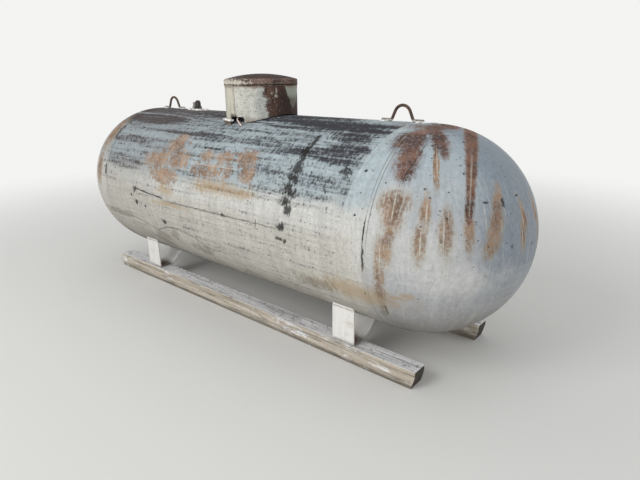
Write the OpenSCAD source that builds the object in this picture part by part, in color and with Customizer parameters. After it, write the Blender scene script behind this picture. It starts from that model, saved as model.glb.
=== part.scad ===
// Horizontal pressure tank for liquid petroleum gas on four folded legs and two timber skids.
// The origin is on the ground under the middle of the vessel. X runs along the vessel, with the
// head that the photograph shows nearest at +X, Y runs across it with the near side at -Y, Z is up.

/* [Vessel] */
// Outside diameter of the shell and of both heads
vessel_d = 950.5; // [920:0.5:980]
// Length between the two tangent lines, where the round heads begin
tangent_l = 2072; // [2000:1:2300]
// Thickness of the rolled shell plate
shell_t = 6; // [4:0.5:10]
// Thickness of the pressed heads
head_t = 4.5; // [3:0.5:8]
// Straight flange of each head between its tangent line and its weld
head_flange = 21; // [10:1:60]
// Clearance between the vessel's underside and the top of the skids
belly_gap = 64.75; // [55:0.25:80]

/* [Welds] */
// Width of the weld bead round each girth seam
girth_w = 14; // [8:0.5:24]
// Height of the weld bead round each girth seam
girth_h = 2.2; // [1:0.1:4]
// Width of the lengthwise seam's bead
seam_w = 9; // [6:0.5:16]
// Height of the lengthwise seam's bead
seam_h = 1; // [0.5:0.1:2]
// Angle of the lengthwise seam above the near side's middle line
seam_angle = 1.4; // [0:0.1:8]

/* [Skids] */
// Length of each timber
skid_l = 2438; // [2000:1:2600]
// Width of each timber
skid_w = 89; // [88:1:120]
// Height of each timber
skid_h = 89; // [70:1:140]
// Distance from the vessel's middle plane to each timber's middle
skid_y = 288.5; // [286:0.5:292]
// How far each end slants back under the timber
skid_undercut = 20; // [0:1:40]
// How far the near timber's middle lies along from the vessel's middle
skid_near_shift = -19; // [-40:1:40]
// How far the far timber's middle lies along from the vessel's middle
skid_far_shift = 21; // [-40:1:40]
// Radius of the worn corners at the ends
skid_wear = 14; // [5:1:25]

/* [Legs] */
// Width of the folded leg plates along the vessel
leg_w = 128; // [80:1:200]
// Distance from the middle of the vessel to the middle of each leg
leg_x = 802; // [650:1:900]
// Thickness of the leg plate
leg_t = 6; // [4:0.5:10]
// Distance from the middle plane to the outer face of the upright flange
leg_out = 327; // [320:0.5:329]
// Length of the flat foot on the timber, from the upright flange to the sloping plate
leg_foot = 87; // [70:1:88]
// Slope of the inner plate above level
leg_slope = 40.7; // [35:0.1:45]
// Radius outside each fold
leg_fold = 11; // [10:0.5:14]

/* [Lifting lugs] */
// Diameter of the bent round bar
lug_rod = 14; // [10:0.5:20]
// Distance from the middle of the vessel to the middle of each lug
lug_x = 881; // [800:1:950]
// Height of the loop's top above the ridge
lug_h = 80; // [76:1:120]
// Outside radius of the loop's crown
lug_crown = 49; // [40:0.5:56]
// Lean of the loop's sides from upright
lug_flare = 24; // [0:0.5:28]
// Length of the whole lug along the ridge
lug_l = 216; // [200:1:280]
// Radius of the bends into the feet, to the bar's middle
lug_bend = 13; // [12:0.5:16]
// Number of flats round the bar
lug_sides = 16; // [12:1:24]

/* [Hood] */
// Place of the hood's middle along the vessel
hood_x = -35; // [-80:1:60]
// Outside diameter of the hood's wall
hood_d = 400; // [380:1:420]
// Thickness of the hood's wall
hood_t = 3; // [2:0.5:4]
// Gap between the hood's lower edge and the shell
hood_gap = 5; // [5:0.5:10]
// Height of the lid's lower edge above the vessel's axis
lid_low = 627; // [610:1:640]
// Depth of the lid's upright skirt with its rounded shoulder
lid_skirt = 36; // [30:1:45]
// Rise of the crown above the shoulder
lid_rise = 27; // [15:1:40]
// Thickness of the pressed lid
lid_t = 2.7; // [2:0.1:3.5]
// Radius of the lid's shoulder
lid_round = 8; // [5:0.5:12]
// Width of the lap where the wall's sheet closes on itself
lap_w = 24; // [10:1:40]
// Extra thickness at the lap
lap_t = 1.5; // [0.5:0.1:3]
// Distance of the lap's free edge from the hood's middle, along the vessel
lap_edge = 4; // [0:1:12]
// Width of the notch in the lower edge
notch_w = 96; // [60:1:110]
// Height of the notch above the lower edge
notch_h = 34; // [25:1:45]
// Turn of the notch round the hood, from the near side towards the left
notch_turn = -4; // [-10:0.5:10]
// Radius of the notch's upper corners
notch_round = 14; // [8:1:20]

/* [Hood hinge and rest] */
// Diameter of the hinge pin
pin_d = 12; // [8:0.5:14]
// Thickness of metal round the pin
knuckle_wall = 5; // [4:0.5:6]
// Length of the hood's knuckle
knuckle_l = 60; // [40:1:90]
// Thickness of each hinge ear on the vessel
ear_t = 8; // [5:0.5:12]
// Thickness of the strap that carries the knuckle on the hood
strap_t = 5; // [4:0.5:8]
// Height of the strap
strap_h = 90; // [50:1:120]
// Turn of the rest and its lip round the hood, from the near side towards the left
rest_turn = 20; // [14:0.5:50]
// Length of the lip welded on the hood
lip_l = 112; // [80:1:120]
// Height of the lip
lip_h = 10; // [6:0.5:14]
// How far the lip stands out from the hood's wall
lip_out = 15; // [12:0.5:25]
// Height of the lip's underside above the shell, where it meets the hood's wall
lip_lift = 10; // [8:0.5:16]
// Thickness of the rest under the lip
rest_t = 7; // [4:0.5:8]

/* [Ridge valve] */
// Place of the ridge valve along the vessel
ridge_x = -625; // [-680:1:-560]
// Length of the pad under it
pad_l = 168; // [140:1:200]
// Width of the pad
pad_w = 58; // [50:1:80]
// Height of the pad above the ridge
pad_h = 8; // [6:0.5:14]
// Diameter of the valve's body
ridge_body_d = 36; // [25:1:45]
// Height of the valve's body above the pad
ridge_body_h = 38; // [30:1:60]
// Diameter of the cap on the valve
ridge_cap_d = 28; // [18:1:34]
// Height of the cap
ridge_cap_h = 12; // [8:1:20]
// Diameter of the vent beside the valve
vent_d = 17; // [10:1:24]

/* [Valves under the hood] */
// Height of the welded couplings above the ridge
coupling_h = 26; // [20:1:34]
// Thickness of metal in each coupling round its valve
coupling_wall = 7.5; // [5:0.5:9]
// Height of the hexagon at the foot of each valve
hex_h = 13; // [8:0.5:16]
// How far the hexagon's corners stand out from the valve's body
hex_out = 5; // [3:0.5:6]
// How far each cap stands out from its valve's body
cap_out = 4; // [2:0.5:6]
// Place of the filling valve along the vessel, from the hood's middle
fill_x = -92; // [-110:1:-84]
// Place of the filling valve across the vessel
fill_y = -8; // [-20:1:20]
// Diameter of the filling valve's body
fill_d = 42; // [34:1:46]
// Height of the filling valve's body above its coupling
fill_h = 46; // [35:1:60]
// Height of the filling valve's cap
fill_cap_h = 22; // [14:1:30]
// Place of the relief valve along the vessel, from the hood's middle
relief_x = -8; // [-20:1:20]
// Place of the relief valve across the vessel
relief_y = 62; // [56:1:80]
// Diameter of the relief valve's body
relief_d = 44; // [34:1:50]
// Height of the relief valve's body above its coupling
relief_h = 70; // [50:1:75]
// Height of the relief valve's rain cap
relief_cap_h = 9; // [5:1:14]
// Place of the vapour valve along the vessel, from the hood's middle
vapour_x = -22; // [-26:1:-10]
// Place of the vapour valve across the vessel
vapour_y = -14; // [-26:1:-8]
// Diameter of the vapour valve's body
vapour_d = 34; // [26:1:42]
// Height of the vapour valve's body above its coupling
vapour_h = 38; // [30:1:55]
// Height of the vapour valve's cap
vapour_cap_h = 16; // [10:1:24]
// Place of the service valve along the vessel, from the hood's middle
service_x = 42; // [34:1:50]
// Place of the service valve across the vessel
service_y = -62; // [-70:1:-54]
// Diameter of the service valve's body
service_d = 28; // [22:1:34]
// Height of the service valve's body above its coupling
service_h = 40; // [36:1:48]
// Diameter of the service valve's stem
stem_d = 10; // [8:0.5:14]
// Length of the stem between the valve's body and its wheel
stem_l = 12; // [6:1:16]
// Diameter of the service valve's hand wheel
wheel_d = 48; // [36:1:56]
// Thickness of the wheel's rim
wheel_rim = 8; // [5:0.5:10]
// Diameter of the service valve's outlet
outlet_d = 22; // [14:1:26]
// Height of the outlet's middle above the coupling
outlet_z = 26; // [24:1:28]
// Reach of the outlet from the middle of the valve
outlet_l = 30; // [22:1:36]
// Place of the level gauge along the vessel, from the hood's middle
gauge_x = 88; // [80:1:100]
// Place of the level gauge across the vessel
gauge_y = 22; // [10:1:40]
// Diameter of the level gauge's flange
gauge_d = 72; // [60:1:84]
// Diameter of the level gauge's head
gauge_head_d = 44; // [34:1:50]
// Height of the level gauge's head above its coupling
gauge_h = 20; // [14:1:30]
// Diameter of the level gauge's dial
dial_d = 50; // [40:1:58]
// Height of the dial
dial_h = 9; // [6:0.5:14]
// Diameter of the cut service line
line_d = 9.5; // [8:0.5:12]

/* [Hidden] */
$fn = 96;
cut = 1;                 // how far a cutter runs past what it cuts
seat = 0.3;              // clearance where a piece sits on a round neighbour
run = 0.05;              // radial clearance of the hinge pin
play = 1;                // room on each side of the knuckle between its ears
bevel = 4;               // bevel on the caps
vessel_r = vessel_d / 2;
axis_over_skid = belly_gap + vessel_r;
axis_z = skid_h + axis_over_skid;
shell_l = tangent_l - 2 * head_flange;
ridge_z = axis_z + vessel_r;
hood_r = hood_d / 2;
lid_r = hood_r + seat + lid_t;
lid_over = 3;            // room between the wall's upper edge and the lid's shoulder
lid_z = axis_z + lid_low;
shoulder_z = lid_z + lid_skirt;
wall_top = shoulder_z - lid_round - lid_t - lid_over;
knuckle_r = pin_d / 2 + knuckle_wall;
ear_r = knuckle_r + 0.5;
strap_bite = 2;          // how far the knuckle is sunk into the face of its strap
hinge_y = hood_r + strap_t + knuckle_r - strap_bite;
hinge_drop = vessel_r + knuckle_r + hood_gap + 1;
hinge_z = axis_z + sqrt(hinge_drop * hinge_drop - hinge_y * hinge_y);
pin_l = knuckle_l + 2 * (play + ear_t + seat);
pin_head_d = pin_d + 7;
pin_head_t = 4;
leg_inner_l = 160;       // length of the sloping plate before the vessel cuts it off
notch_angle = -90 - notch_turn;
lip_y = hood_r * cos(rest_turn);
lip_z = axis_z + sqrt(vessel_r * vessel_r - lip_y * lip_y) + lip_lift;
rest_r = hood_r + hood_gap + 1;
rest_l = lip_l - 14;
pad_top = ridge_z + pad_h;
coupling_top = ridge_z + coupling_h;
spoke_w = 6;
spoke_h = 5;
hub_d = stem_d + 4;
gauge_flange_h = 9;
dial_bevel = 3;

// Places of the couplings under the hood
fill_at = [hood_x + fill_x, fill_y];
relief_at = [hood_x + relief_x, relief_y];
vapour_at = [hood_x + vapour_x, vapour_y];
service_at = [hood_x + service_x, service_y];
gauge_at = [hood_x + gauge_x, gauge_y];
vent_x = ridge_x - (ridge_body_d + vent_d) / 2 - 2 * hex_out - 2;

// Colours as the photograph shows them
mint = [0.72, 0.76, 0.73];
cream = [0.80, 0.80, 0.74];
white_paint = [0.86, 0.86, 0.84];
rust = [0.30, 0.20, 0.16];
dark_metal = [0.16, 0.14, 0.14];
timber = [0.62, 0.58, 0.52];
brass = [0.72, 0.58, 0.30];
copper = [0.76, 0.58, 0.50];
red_paint = [0.55, 0.12, 0.10];

// The vessel's round body, grown by a gap, as a cutter for what sits on it
module vessel_cutter(gap = 0) {
    translate([-tangent_l / 2, 0, axis_z])
        rotate([0, 90, 0])
            cylinder(r = vessel_r + gap, h = tangent_l, $fn = 720);
}

// A bead of the given width and height whose face is part of a circle
function bead_r(w, h) = (w * w / 4 + h * h) / (2 * h);

// Points on an arc, the first and the last included
function arc(cx, cy, r, from, to, steps = 6) =
    [for (i = [0:steps]) let (a = from + (to - from) * i / steps) [cx + r * cos(a), cy + r * sin(a)]];

// Vessel
module shell() {
    color(mint)
        translate([-shell_l / 2, 0, axis_z])
            rotate([0, 90, 0])
                difference() {
                    cylinder(r = vessel_r, h = shell_l, $fn = 192);
                    translate([0, 0, -cut])
                        cylinder(r = vessel_r - shell_t, h = shell_l + 2 * cut, $fn = 192);
                }
}

// A round head with its straight flange, open towards -X
module head() {
    translate([shell_l / 2, 0, axis_z])
        rotate([0, 90, 0])
            rotate_extrude($fn = 192)
                union() {
                    translate([vessel_r - head_t, 0])
                        square([head_t, head_flange]);
                    translate([0, head_flange])
                        intersection() {
                            difference() {
                                circle(r = vessel_r, $fn = 192);
                                circle(r = vessel_r - head_t, $fn = 192);
                            }
                            square([vessel_r, vessel_r]);
                        }
                }
}

module head_right() {
    color(mint)
        head();
}

module head_left() {
    color(mint)
        mirror([1, 0, 0])
            head();
}

module girth_weld(side) {
    r = bead_r(girth_w, girth_h);
    half = asin(girth_w / 2 / r);
    color(mint)
        translate([side * shell_l / 2, 0, axis_z])
            rotate([0, 90, 0])
                rotate_extrude($fn = 192)
                    polygon(arc(vessel_r + girth_h - r, 0, r, -half, half, 8));
}

module long_seam_weld() {
    r = bead_r(seam_w, seam_h);
    length = shell_l - girth_w;
    color(mint)
        translate([-length / 2, 0, axis_z])
            rotate([90 - seam_angle, 0, 0])
                intersection() {
                    translate([0, 0, vessel_r + seam_h - r])
                        rotate([0, 90, 0])
                            cylinder(r = r, h = length);
                    translate([0, -seam_w, vessel_r])
                        cube([length, 2 * seam_w, seam_w]);
                }
}

function unit(v) = v / norm(v);

// A round bar along a path that never runs along the direction flat_to
module swept_rod(points, r, sides, flat_to) {
    last = len(points) - 1;
    rings = [for (i = [0:last])
        let (way = unit(points[min(i + 1, last)] - points[max(i - 1, 0)]),
             across = unit(cross(way, flat_to)),
             up = cross(way, across))
        for (k = [0:sides - 1])
            points[i] + r * cos(k * 360 / sides) * across + r * sin(k * 360 / sides) * up];
    walls = [for (i = [0:last - 1]) for (k = [0:sides - 1])
        let (a = i * sides + k, b = i * sides + (k + 1) % sides)
        for (f = [[a, b, b + sides], [a, b + sides, a + sides]]) f];
    polyhedron(rings, concat(walls, [[for (k = [0:sides - 1]) sides - 1 - k]],
                             [[for (k = [0:sides - 1]) last * sides + k]]));
}

// Lifting lug: a round bar bent to a loop with two feet along the ridge
module lug(side) {
    crown_r = lug_crown - lug_rod / 2;
    crown_z = lug_h - lug_crown;
    foot_z = lug_rod / 2;
    side_x = crown_r * cos(lug_flare);
    side_top = crown_z + crown_r * sin(lug_flare);
    side_low = foot_z + lug_bend * (1 - sin(lug_flare));
    bend_x = side_x + (side_top - side_low) * tan(lug_flare) + lug_bend * cos(lug_flare);
    half = concat(
        [[lug_l / 2, foot_z]],
        arc(bend_x, foot_z + lug_bend, lug_bend, 270, 180 + lug_flare),
        arc(0, crown_z, crown_r, lug_flare, 90, 8)
    );
    last = len(half) - 1;
    path = concat(half, [for (i = [last - 1:-1:0]) [-half[i][0], half[i][1]]]);
    color(rust)
        translate([side * lug_x, 0, ridge_z])
            swept_rod([for (q = path) [q[0], 0, q[1]]], lug_rod / 2, lug_sides, [0, 1, 0]);
}

// Legs: one plate folded to an upright flange, a foot and a sloping inner plate
module leg_section() {
    foot_end = leg_out - leg_foot;
    turn_x = foot_end + leg_fold * tan(leg_slope / 2);
    end_x = turn_x + leg_fold * cos(270 - leg_slope) - leg_inner_l * cos(leg_slope);
    end_y = leg_fold + leg_fold * sin(270 - leg_slope) + leg_inner_l * sin(leg_slope);
    polygon(concat(
        [[leg_out, axis_over_skid]],
        arc(leg_out - leg_fold, leg_fold, leg_fold, 0, -90),
        arc(turn_x, leg_fold, leg_fold, 270, 270 - leg_slope),
        [[end_x, end_y], [end_x + leg_t * sin(leg_slope), end_y + leg_t * cos(leg_slope)]],
        arc(turn_x, leg_fold, leg_fold - leg_t, 270 - leg_slope, 270),
        arc(leg_out - leg_fold, leg_fold, leg_fold - leg_t, -90, 0),
        [[leg_out - leg_t, axis_over_skid]]
    ));
}

module leg(side_x, side_y) {
    color(white_paint)
        difference() {
            translate([side_x * leg_x - leg_w / 2, 0, skid_h])
                scale([1, side_y, 1])
                    rotate([90, 0, 90])
                        linear_extrude(leg_w)
                            leg_section();
            vessel_cutter();
        }
}

// Timber skids with slanting ends and worn corners
module skid(side_y, shift) {
    half = skid_l / 2;
    color(timber)
        translate([shift, side_y * skid_y, 0])
            intersection() {
                translate([0, skid_w / 2, 0])
                    rotate([90, 0, 0])
                        linear_extrude(skid_w)
                            polygon(concat(
                                [[-half + skid_undercut, 0], [half - skid_undercut, 0]],
                                arc(half - skid_wear, skid_h - skid_wear, skid_wear, 0, 90),
                                arc(-half + skid_wear, skid_h - skid_wear, skid_wear, 90, 180)
                            ));
                linear_extrude(skid_h)
                    polygon(concat(
                        arc(half - skid_wear, skid_w / 2 - skid_wear, skid_wear, 0, 90),
                        arc(-half + skid_wear, skid_w / 2 - skid_wear, skid_wear, 90, 180),
                        arc(-half + skid_wear, -skid_w / 2 + skid_wear, skid_wear, 180, 270),
                        arc(half - skid_wear, -skid_w / 2 + skid_wear, skid_wear, 270, 360)
                    ));
            }
}

// A valve's round body on its hexagon
module valve_body(d, h) {
    cylinder(d = d + 2 * hex_out, h = hex_h, $fn = 6);
    cylinder(d = d, h = h);
}

// A round cap with a bevelled top
module bevelled_cap(d, h) {
    cylinder(d = d, h = h - bevel);
    translate([0, 0, h - bevel])
        cylinder(d1 = d, d2 = d - 2 * bevel, h = bevel);
}

// Ridge valve: a pad on the ridge, a capped valve and a short vent beside it
module ridge_pad() {
    color(cream)
        difference() {
            translate([ridge_x, 0, axis_z])
                union() {
                    translate([-pad_l / 2 + pad_w / 2, -pad_w / 2, 0])
                        cube([pad_l - pad_w, pad_w, pad_top - axis_z]);
                    for (s = [-1, 1])
                        translate([s * (pad_l - pad_w) / 2, 0, 0])
                            cylinder(d = pad_w, h = pad_top - axis_z);
                }
            vessel_cutter();
        }
}

module ridge_valve() {
    color(dark_metal)
        translate([ridge_x, 0, pad_top])
            union()
                valve_body(ridge_body_d, ridge_body_h);
}

module ridge_cap() {
    color(dark_metal)
        translate([ridge_x, 0, pad_top + ridge_body_h])
            union()
                bevelled_cap(ridge_cap_d, ridge_cap_h);
}

module ridge_vent() {
    color(mint)
        translate([vent_x, 0, pad_top])
            union()
                valve_body(vent_d, ridge_body_h);
}

// Valves under the hood, each screwed into a coupling welded on the shell
module coupling(at, d) {
    translate([at[0], at[1], axis_z])
        cylinder(d = d + 2 * coupling_wall, h = coupling_top - axis_z);
}

module couplings() {
    color(mint)
        difference() {
            union() {
                coupling(fill_at, fill_d);
                coupling(relief_at, relief_d);
                coupling(vapour_at, vapour_d);
                coupling(service_at, service_d);
                coupling(gauge_at, gauge_head_d);
            }
            vessel_cutter();
        }
}

module on_coupling(at) {
    translate([at[0], at[1], coupling_top])
        children();
}

module fill_valve() {
    color(brass)
        on_coupling(fill_at)
            union()
                valve_body(fill_d, fill_h);
}

module fill_cap() {
    color(dark_metal)
        on_coupling(fill_at)
            translate([0, 0, fill_h])
                union()
                    bevelled_cap(fill_d + 2 * cap_out, fill_cap_h);
}

module relief_valve() {
    color(brass)
        on_coupling(relief_at)
            union()
                valve_body(relief_d, relief_h);
}

module relief_cap() {
    color(red_paint)
        on_coupling(relief_at)
            translate([0, 0, relief_h])
                cylinder(d = relief_d + 2 * cap_out, h = relief_cap_h);
}

module vapour_valve() {
    color(brass)
        on_coupling(vapour_at)
            union()
                valve_body(vapour_d, vapour_h);
}

module vapour_cap() {
    color(dark_metal)
        on_coupling(vapour_at)
            translate([0, 0, vapour_h])
                union()
                    bevelled_cap(vapour_d + 2 * cap_out, vapour_cap_h);
}

module service_valve() {
    color(brass)
        on_coupling(service_at)
            union() {
                valve_body(service_d, service_h);
                cylinder(d = stem_d, h = service_h + stem_l);
                translate([0, 0, outlet_z])
                    rotate([90, 0, 0])
                        cylinder(d = outlet_d, h = outlet_l);
            }
}

module service_wheel() {
    color(red_paint)
        on_coupling(service_at)
            translate([0, 0, service_h + stem_l])
                union() {
                    cylinder(d = hub_d, h = wheel_rim);
                    for (a = [0:60:120])
                        rotate([0, 0, a])
                            translate([-(wheel_d - wheel_rim) / 2, -spoke_w / 2, (wheel_rim - spoke_h) / 2])
                                cube([wheel_d - wheel_rim, spoke_w, spoke_h]);
                    translate([0, 0, wheel_rim / 2])
                        rotate_extrude()
                            translate([(wheel_d - wheel_rim) / 2, 0])
                                circle(d = wheel_rim, $fn = 32);
                }
}

module level_gauge() {
    color(dark_metal)
        on_coupling(gauge_at)
            union() {
                cylinder(d = gauge_d, h = gauge_flange_h);
                cylinder(d = gauge_head_d, h = gauge_h);
            }
}

module gauge_dial() {
    color(cream)
        on_coupling(gauge_at)
            translate([0, 0, gauge_h])
                union() {
                    cylinder(d = dial_d, h = dial_h - dial_bevel);
                    translate([0, 0, dial_h - dial_bevel])
                        cylinder(d1 = dial_d, d2 = dial_d - 2 * dial_bevel, h = dial_bevel);
                }
}

// Service line: from the valve's outlet down through the notch, cut off on the shell outside
function bezier(p, t) =
    pow(1 - t, 3) * p[0] + 3 * pow(1 - t, 2) * t * p[1] + 3 * (1 - t) * t * t * p[2] + pow(t, 3) * p[3];

function on_shell(x, y, over) = [x, y, axis_z + sqrt(pow(vessel_r + over, 2) - y * y)];

line_bend = 40;          // how softly it bends out of the outlet and under the wall
line_steps = 9;
line_start = [service_at[0], service_at[1] - outlet_l - seat, coupling_top + outlet_z];
line_mid = on_shell(hood_x + 20, -hood_r, 18);
line_end = on_shell(hood_x + 67, -hood_r - 18, line_d / 2 + seat);
line_way = unit(line_end - line_mid);
line_out = line_start + [0, -line_d, 0];
line_curve = [line_out, line_out + [0, -line_bend, 0], line_mid - line_bend * line_way, line_mid];
line_points = concat(
    [line_start],
    [for (i = [0:line_steps]) bezier(line_curve, i / line_steps)],
    [line_end]
);

module service_line() {
    color(copper)
        swept_rod(line_points, line_d / 2, 12, [1, 0, 0]);
}

// Hood hinge on the far side, laid along its axis
module at_hinge() {
    translate([hood_x, hinge_y, hinge_z])
        rotate([0, 90, 0])
            children();
}

module pin_hole() {
    at_hinge()
        translate([0, 0, -pin_l])
            cylinder(r = pin_d / 2 + run, h = 2 * pin_l, $fn = 64);
}

module hinge_ears() {
    color(rust)
        difference() {
            for (s = [-1, 1])
                translate([s * (knuckle_l / 2 + play + ear_t / 2), 0, 0])
                    union() {
                        at_hinge()
                            translate([0, 0, -ear_t / 2])
                                cylinder(r = ear_r, h = ear_t);
                        translate([hood_x - ear_t / 2, hinge_y - ear_r, axis_z])
                            cube([ear_t, 2 * ear_r, hinge_z - axis_z]);
                    }
            vessel_cutter();
            pin_hole();
        }
}

module hinge_pin() {
    color(dark_metal)
        at_hinge()
            union() {
                translate([0, 0, -pin_l / 2])
                    cylinder(d = pin_d, h = pin_l, $fn = 64);
                for (z = [-pin_l / 2 - pin_head_t, pin_l / 2])
                    translate([0, 0, z])
                        cylinder(d = pin_head_d, h = pin_head_t);
            }
}

module hinge_leaf() {
    color(rust)
        difference() {
            union() {
                translate([hood_x, 0, hinge_z - knuckle_r / 2])
                    intersection() {
                        difference() {
                            cylinder(r = hood_r + strap_t, h = strap_h, $fn = 192);
                            translate([0, 0, -cut])
                                cylinder(r = hood_r, h = strap_h + 2 * cut, $fn = 192);
                        }
                        translate([-knuckle_l / 2, hood_r / 2, 0])
                            cube([knuckle_l, hood_r, strap_h]);
                    }
                at_hinge()
                    translate([0, 0, -knuckle_l / 2])
                        cylinder(r = knuckle_r, h = knuckle_l);
            }
            pin_hole();
        }
}

// Hood
module ring(outer, inner, h) {
    difference() {
        cylinder(r = outer, h = h, $fn = 192);
        translate([0, 0, -cut])
            cylinder(r = inner, h = h + 2 * cut, $fn = 192);
    }
}

module hood_wall() {
    color(cream)
        difference() {
            translate([hood_x, 0, axis_z])
                union() {
                    ring(hood_r, hood_r - hood_t, wall_top - axis_z);
                    intersection() {
                        ring(hood_r + lap_t, hood_r - hood_t / 2, lid_low - seat);
                        translate([lap_edge - lap_w, -2 * hood_r, 0])
                            cube([lap_w, 2 * hood_r, lid_low]);
                    }
                }
            vessel_cutter(hood_gap);
            hood_notch();
        }
}

// The notch has round upper corners
module hood_notch() {
    depth = 20 * hood_t;
    flat_w = notch_w - 2 * notch_round;
    foot_z = sqrt(pow(vessel_r + hood_gap, 2) - pow(hood_r, 2));
    translate([hood_x, 0, axis_z])
        rotate([0, 0, notch_angle])
            translate([hood_r - depth / 2, 0, foot_z + notch_h])
                rotate([90, 0, 90])
                    union() {
                        for (s = [-1, 1])
                            translate([s * flat_w / 2, -notch_round, 0])
                                cylinder(r = notch_round, h = depth);
                        translate([-flat_w / 2, -2 * notch_h, 0])
                            cube([flat_w, 2 * notch_h, depth]);
                        translate([-notch_w / 2, -2 * notch_h, 0])
                            cube([notch_w, 2 * notch_h - notch_round, depth]);
                    }
}

// Half outline of the lid's outer or inner face, from its lower edge to the middle of the crown
function lid_face(inset) =
    let (neck = lid_r - lid_round,
         dome_r = (neck * neck + lid_rise * lid_rise) / (2 * lid_rise),
         dome_z = shoulder_z + lid_rise - dome_r,
         tilt = asin(neck / dome_r),
         crown = arc(0, dome_z, dome_r - inset, 90 - tilt, 90, 12))
    concat(
        [[lid_r - inset, lid_z]],
        arc(neck, shoulder_z - lid_round, lid_round - inset, 0, 90 - tilt),
        [for (i = [1:12]) crown[i]]
    );

module hood_lid() {
    inner = lid_face(lid_t);
    color(rust)
        translate([hood_x, 0, 0])
            rotate_extrude($fn = 192)
                polygon(concat(lid_face(0), [for (i = [len(inner) - 1:-1:0]) inner[i]]));
}

// The lip on the hood lies on a rest that is welded to the shell
module at_rest() {
    translate([hood_x, 0, 0])
        rotate([0, 0, -90 - rest_turn])
            children();
}

module hood_lip() {
    color(cream)
        difference() {
            at_rest()
                difference() {
                    translate([0, -lip_l / 2, lip_z])
                        cube([hood_r + lip_out, lip_l, lip_h]);
                    translate([0, 0, lip_z - cut])
                        cylinder(r = hood_r, h = lip_h + 2 * cut, $fn = 192);
                }
            vessel_cutter(hood_gap);
        }
}

module hood_rest() {
    color(rust)
        difference() {
            at_rest()
                translate([rest_r, -rest_l / 2, axis_z])
                    cube([rest_t, rest_l, lip_z - seat - axis_z]);
            vessel_cutter();
        }
}

shell();
head_left();
head_right();
girth_weld(-1);  // girth_weld_left
girth_weld(1);  // girth_weld_right
long_seam_weld();
lug(-1);  // lug_left
lug(1);  // lug_right
leg(-1, -1);  // leg_near_left
leg(1, -1);  // leg_near_right
leg(-1, 1);  // leg_far_left
leg(1, 1);  // leg_far_right
skid(-1, skid_near_shift);  // skid_near
skid(1, skid_far_shift);  // skid_far
ridge_pad();
ridge_valve();
ridge_vent();
ridge_cap();
couplings();
fill_valve();
fill_cap();
relief_valve();
relief_cap();
vapour_valve();
vapour_cap();
service_valve();
service_wheel();
service_line();
level_gauge();
gauge_dial();
hinge_ears();
hinge_pin();
hood_rest();
hood_wall();
hood_lid();
hinge_leaf();
hood_lip();
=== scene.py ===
# %% [markdown]
# # A weathered gas tank, dressed in Blender
#
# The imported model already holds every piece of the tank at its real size: a rolled shell with two round
# heads, four folded legs on two timbers, lifting lugs and a hinged round hood over the valves. This
# script gives those pieces their surfaces, adds welds, screws and other small parts, and sets the
# camera where the photograph was taken.

# %% Load the frame
import math
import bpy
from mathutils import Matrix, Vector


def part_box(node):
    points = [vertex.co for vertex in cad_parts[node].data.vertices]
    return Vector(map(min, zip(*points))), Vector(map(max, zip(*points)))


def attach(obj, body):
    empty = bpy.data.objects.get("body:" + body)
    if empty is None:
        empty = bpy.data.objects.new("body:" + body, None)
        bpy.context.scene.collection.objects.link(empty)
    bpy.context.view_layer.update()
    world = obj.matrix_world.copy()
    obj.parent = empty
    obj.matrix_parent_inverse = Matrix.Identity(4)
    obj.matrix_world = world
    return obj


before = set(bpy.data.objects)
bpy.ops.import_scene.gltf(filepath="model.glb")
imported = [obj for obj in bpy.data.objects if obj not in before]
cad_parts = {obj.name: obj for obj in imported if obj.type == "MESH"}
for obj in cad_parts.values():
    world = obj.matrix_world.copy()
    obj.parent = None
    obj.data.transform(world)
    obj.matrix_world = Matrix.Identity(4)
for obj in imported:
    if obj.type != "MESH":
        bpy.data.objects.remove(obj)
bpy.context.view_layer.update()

from types import SimpleNamespace

import bmesh
import bpy
from mathutils import Matrix, Vector

print("nodes in the frame:", len(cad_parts))

# %% [markdown]
# ## Measures taken from the frame
#
# Stains on the tank are placed by how far along it they are and how high round it, so the radius and the
# height of the axis are needed first. They come from the boxes of the pieces, never from typed copies.

# %% Measures of the vessel and the hood
shell_low, shell_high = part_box("shell")
TANK_R = (shell_high.z - shell_low.z) / 2
AXIS_Z = (shell_high.z + shell_low.z) / 2
HEAD_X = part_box("head_right")[1].x - TANK_R        # where the round part of the head begins
RIDGE_Z = shell_high.z
wall_low, wall_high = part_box("hood_wall")
lid_low, lid_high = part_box("hood_lid")
HOOD_X = (lid_low.x + lid_high.x) / 2
HOOD_R = (wall_high.x - wall_low.x) / 2
SKID_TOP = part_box("skid_near")[1].z
print(f"tank radius {TANK_R:.3f} m, axis {AXIS_Z:.3f} m up, hood radius {HOOD_R:.3f} m")

# %% [markdown]
# ## Camera
#
# The place and the angles of the camera were found by fitting the tank's outline to the photograph.
# A camera looks along its own -Z, so its three axes are put together from the direction of view, the
# direction to the right and the direction up, and then rolled a little.

# %% Camera of the photograph
CAMERA_AT = Vector((2.074, -1.989, 1.3065))
CAMERA_YAW = math.radians(40.315)                  # from +Y towards -X
CAMERA_PITCH = math.radians(18.439)                # downwards
CAMERA_ROLL = math.radians(-0.4885)
FOCAL_PIXELS = 493.6
PHOTO_WIDTH = 640


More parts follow.
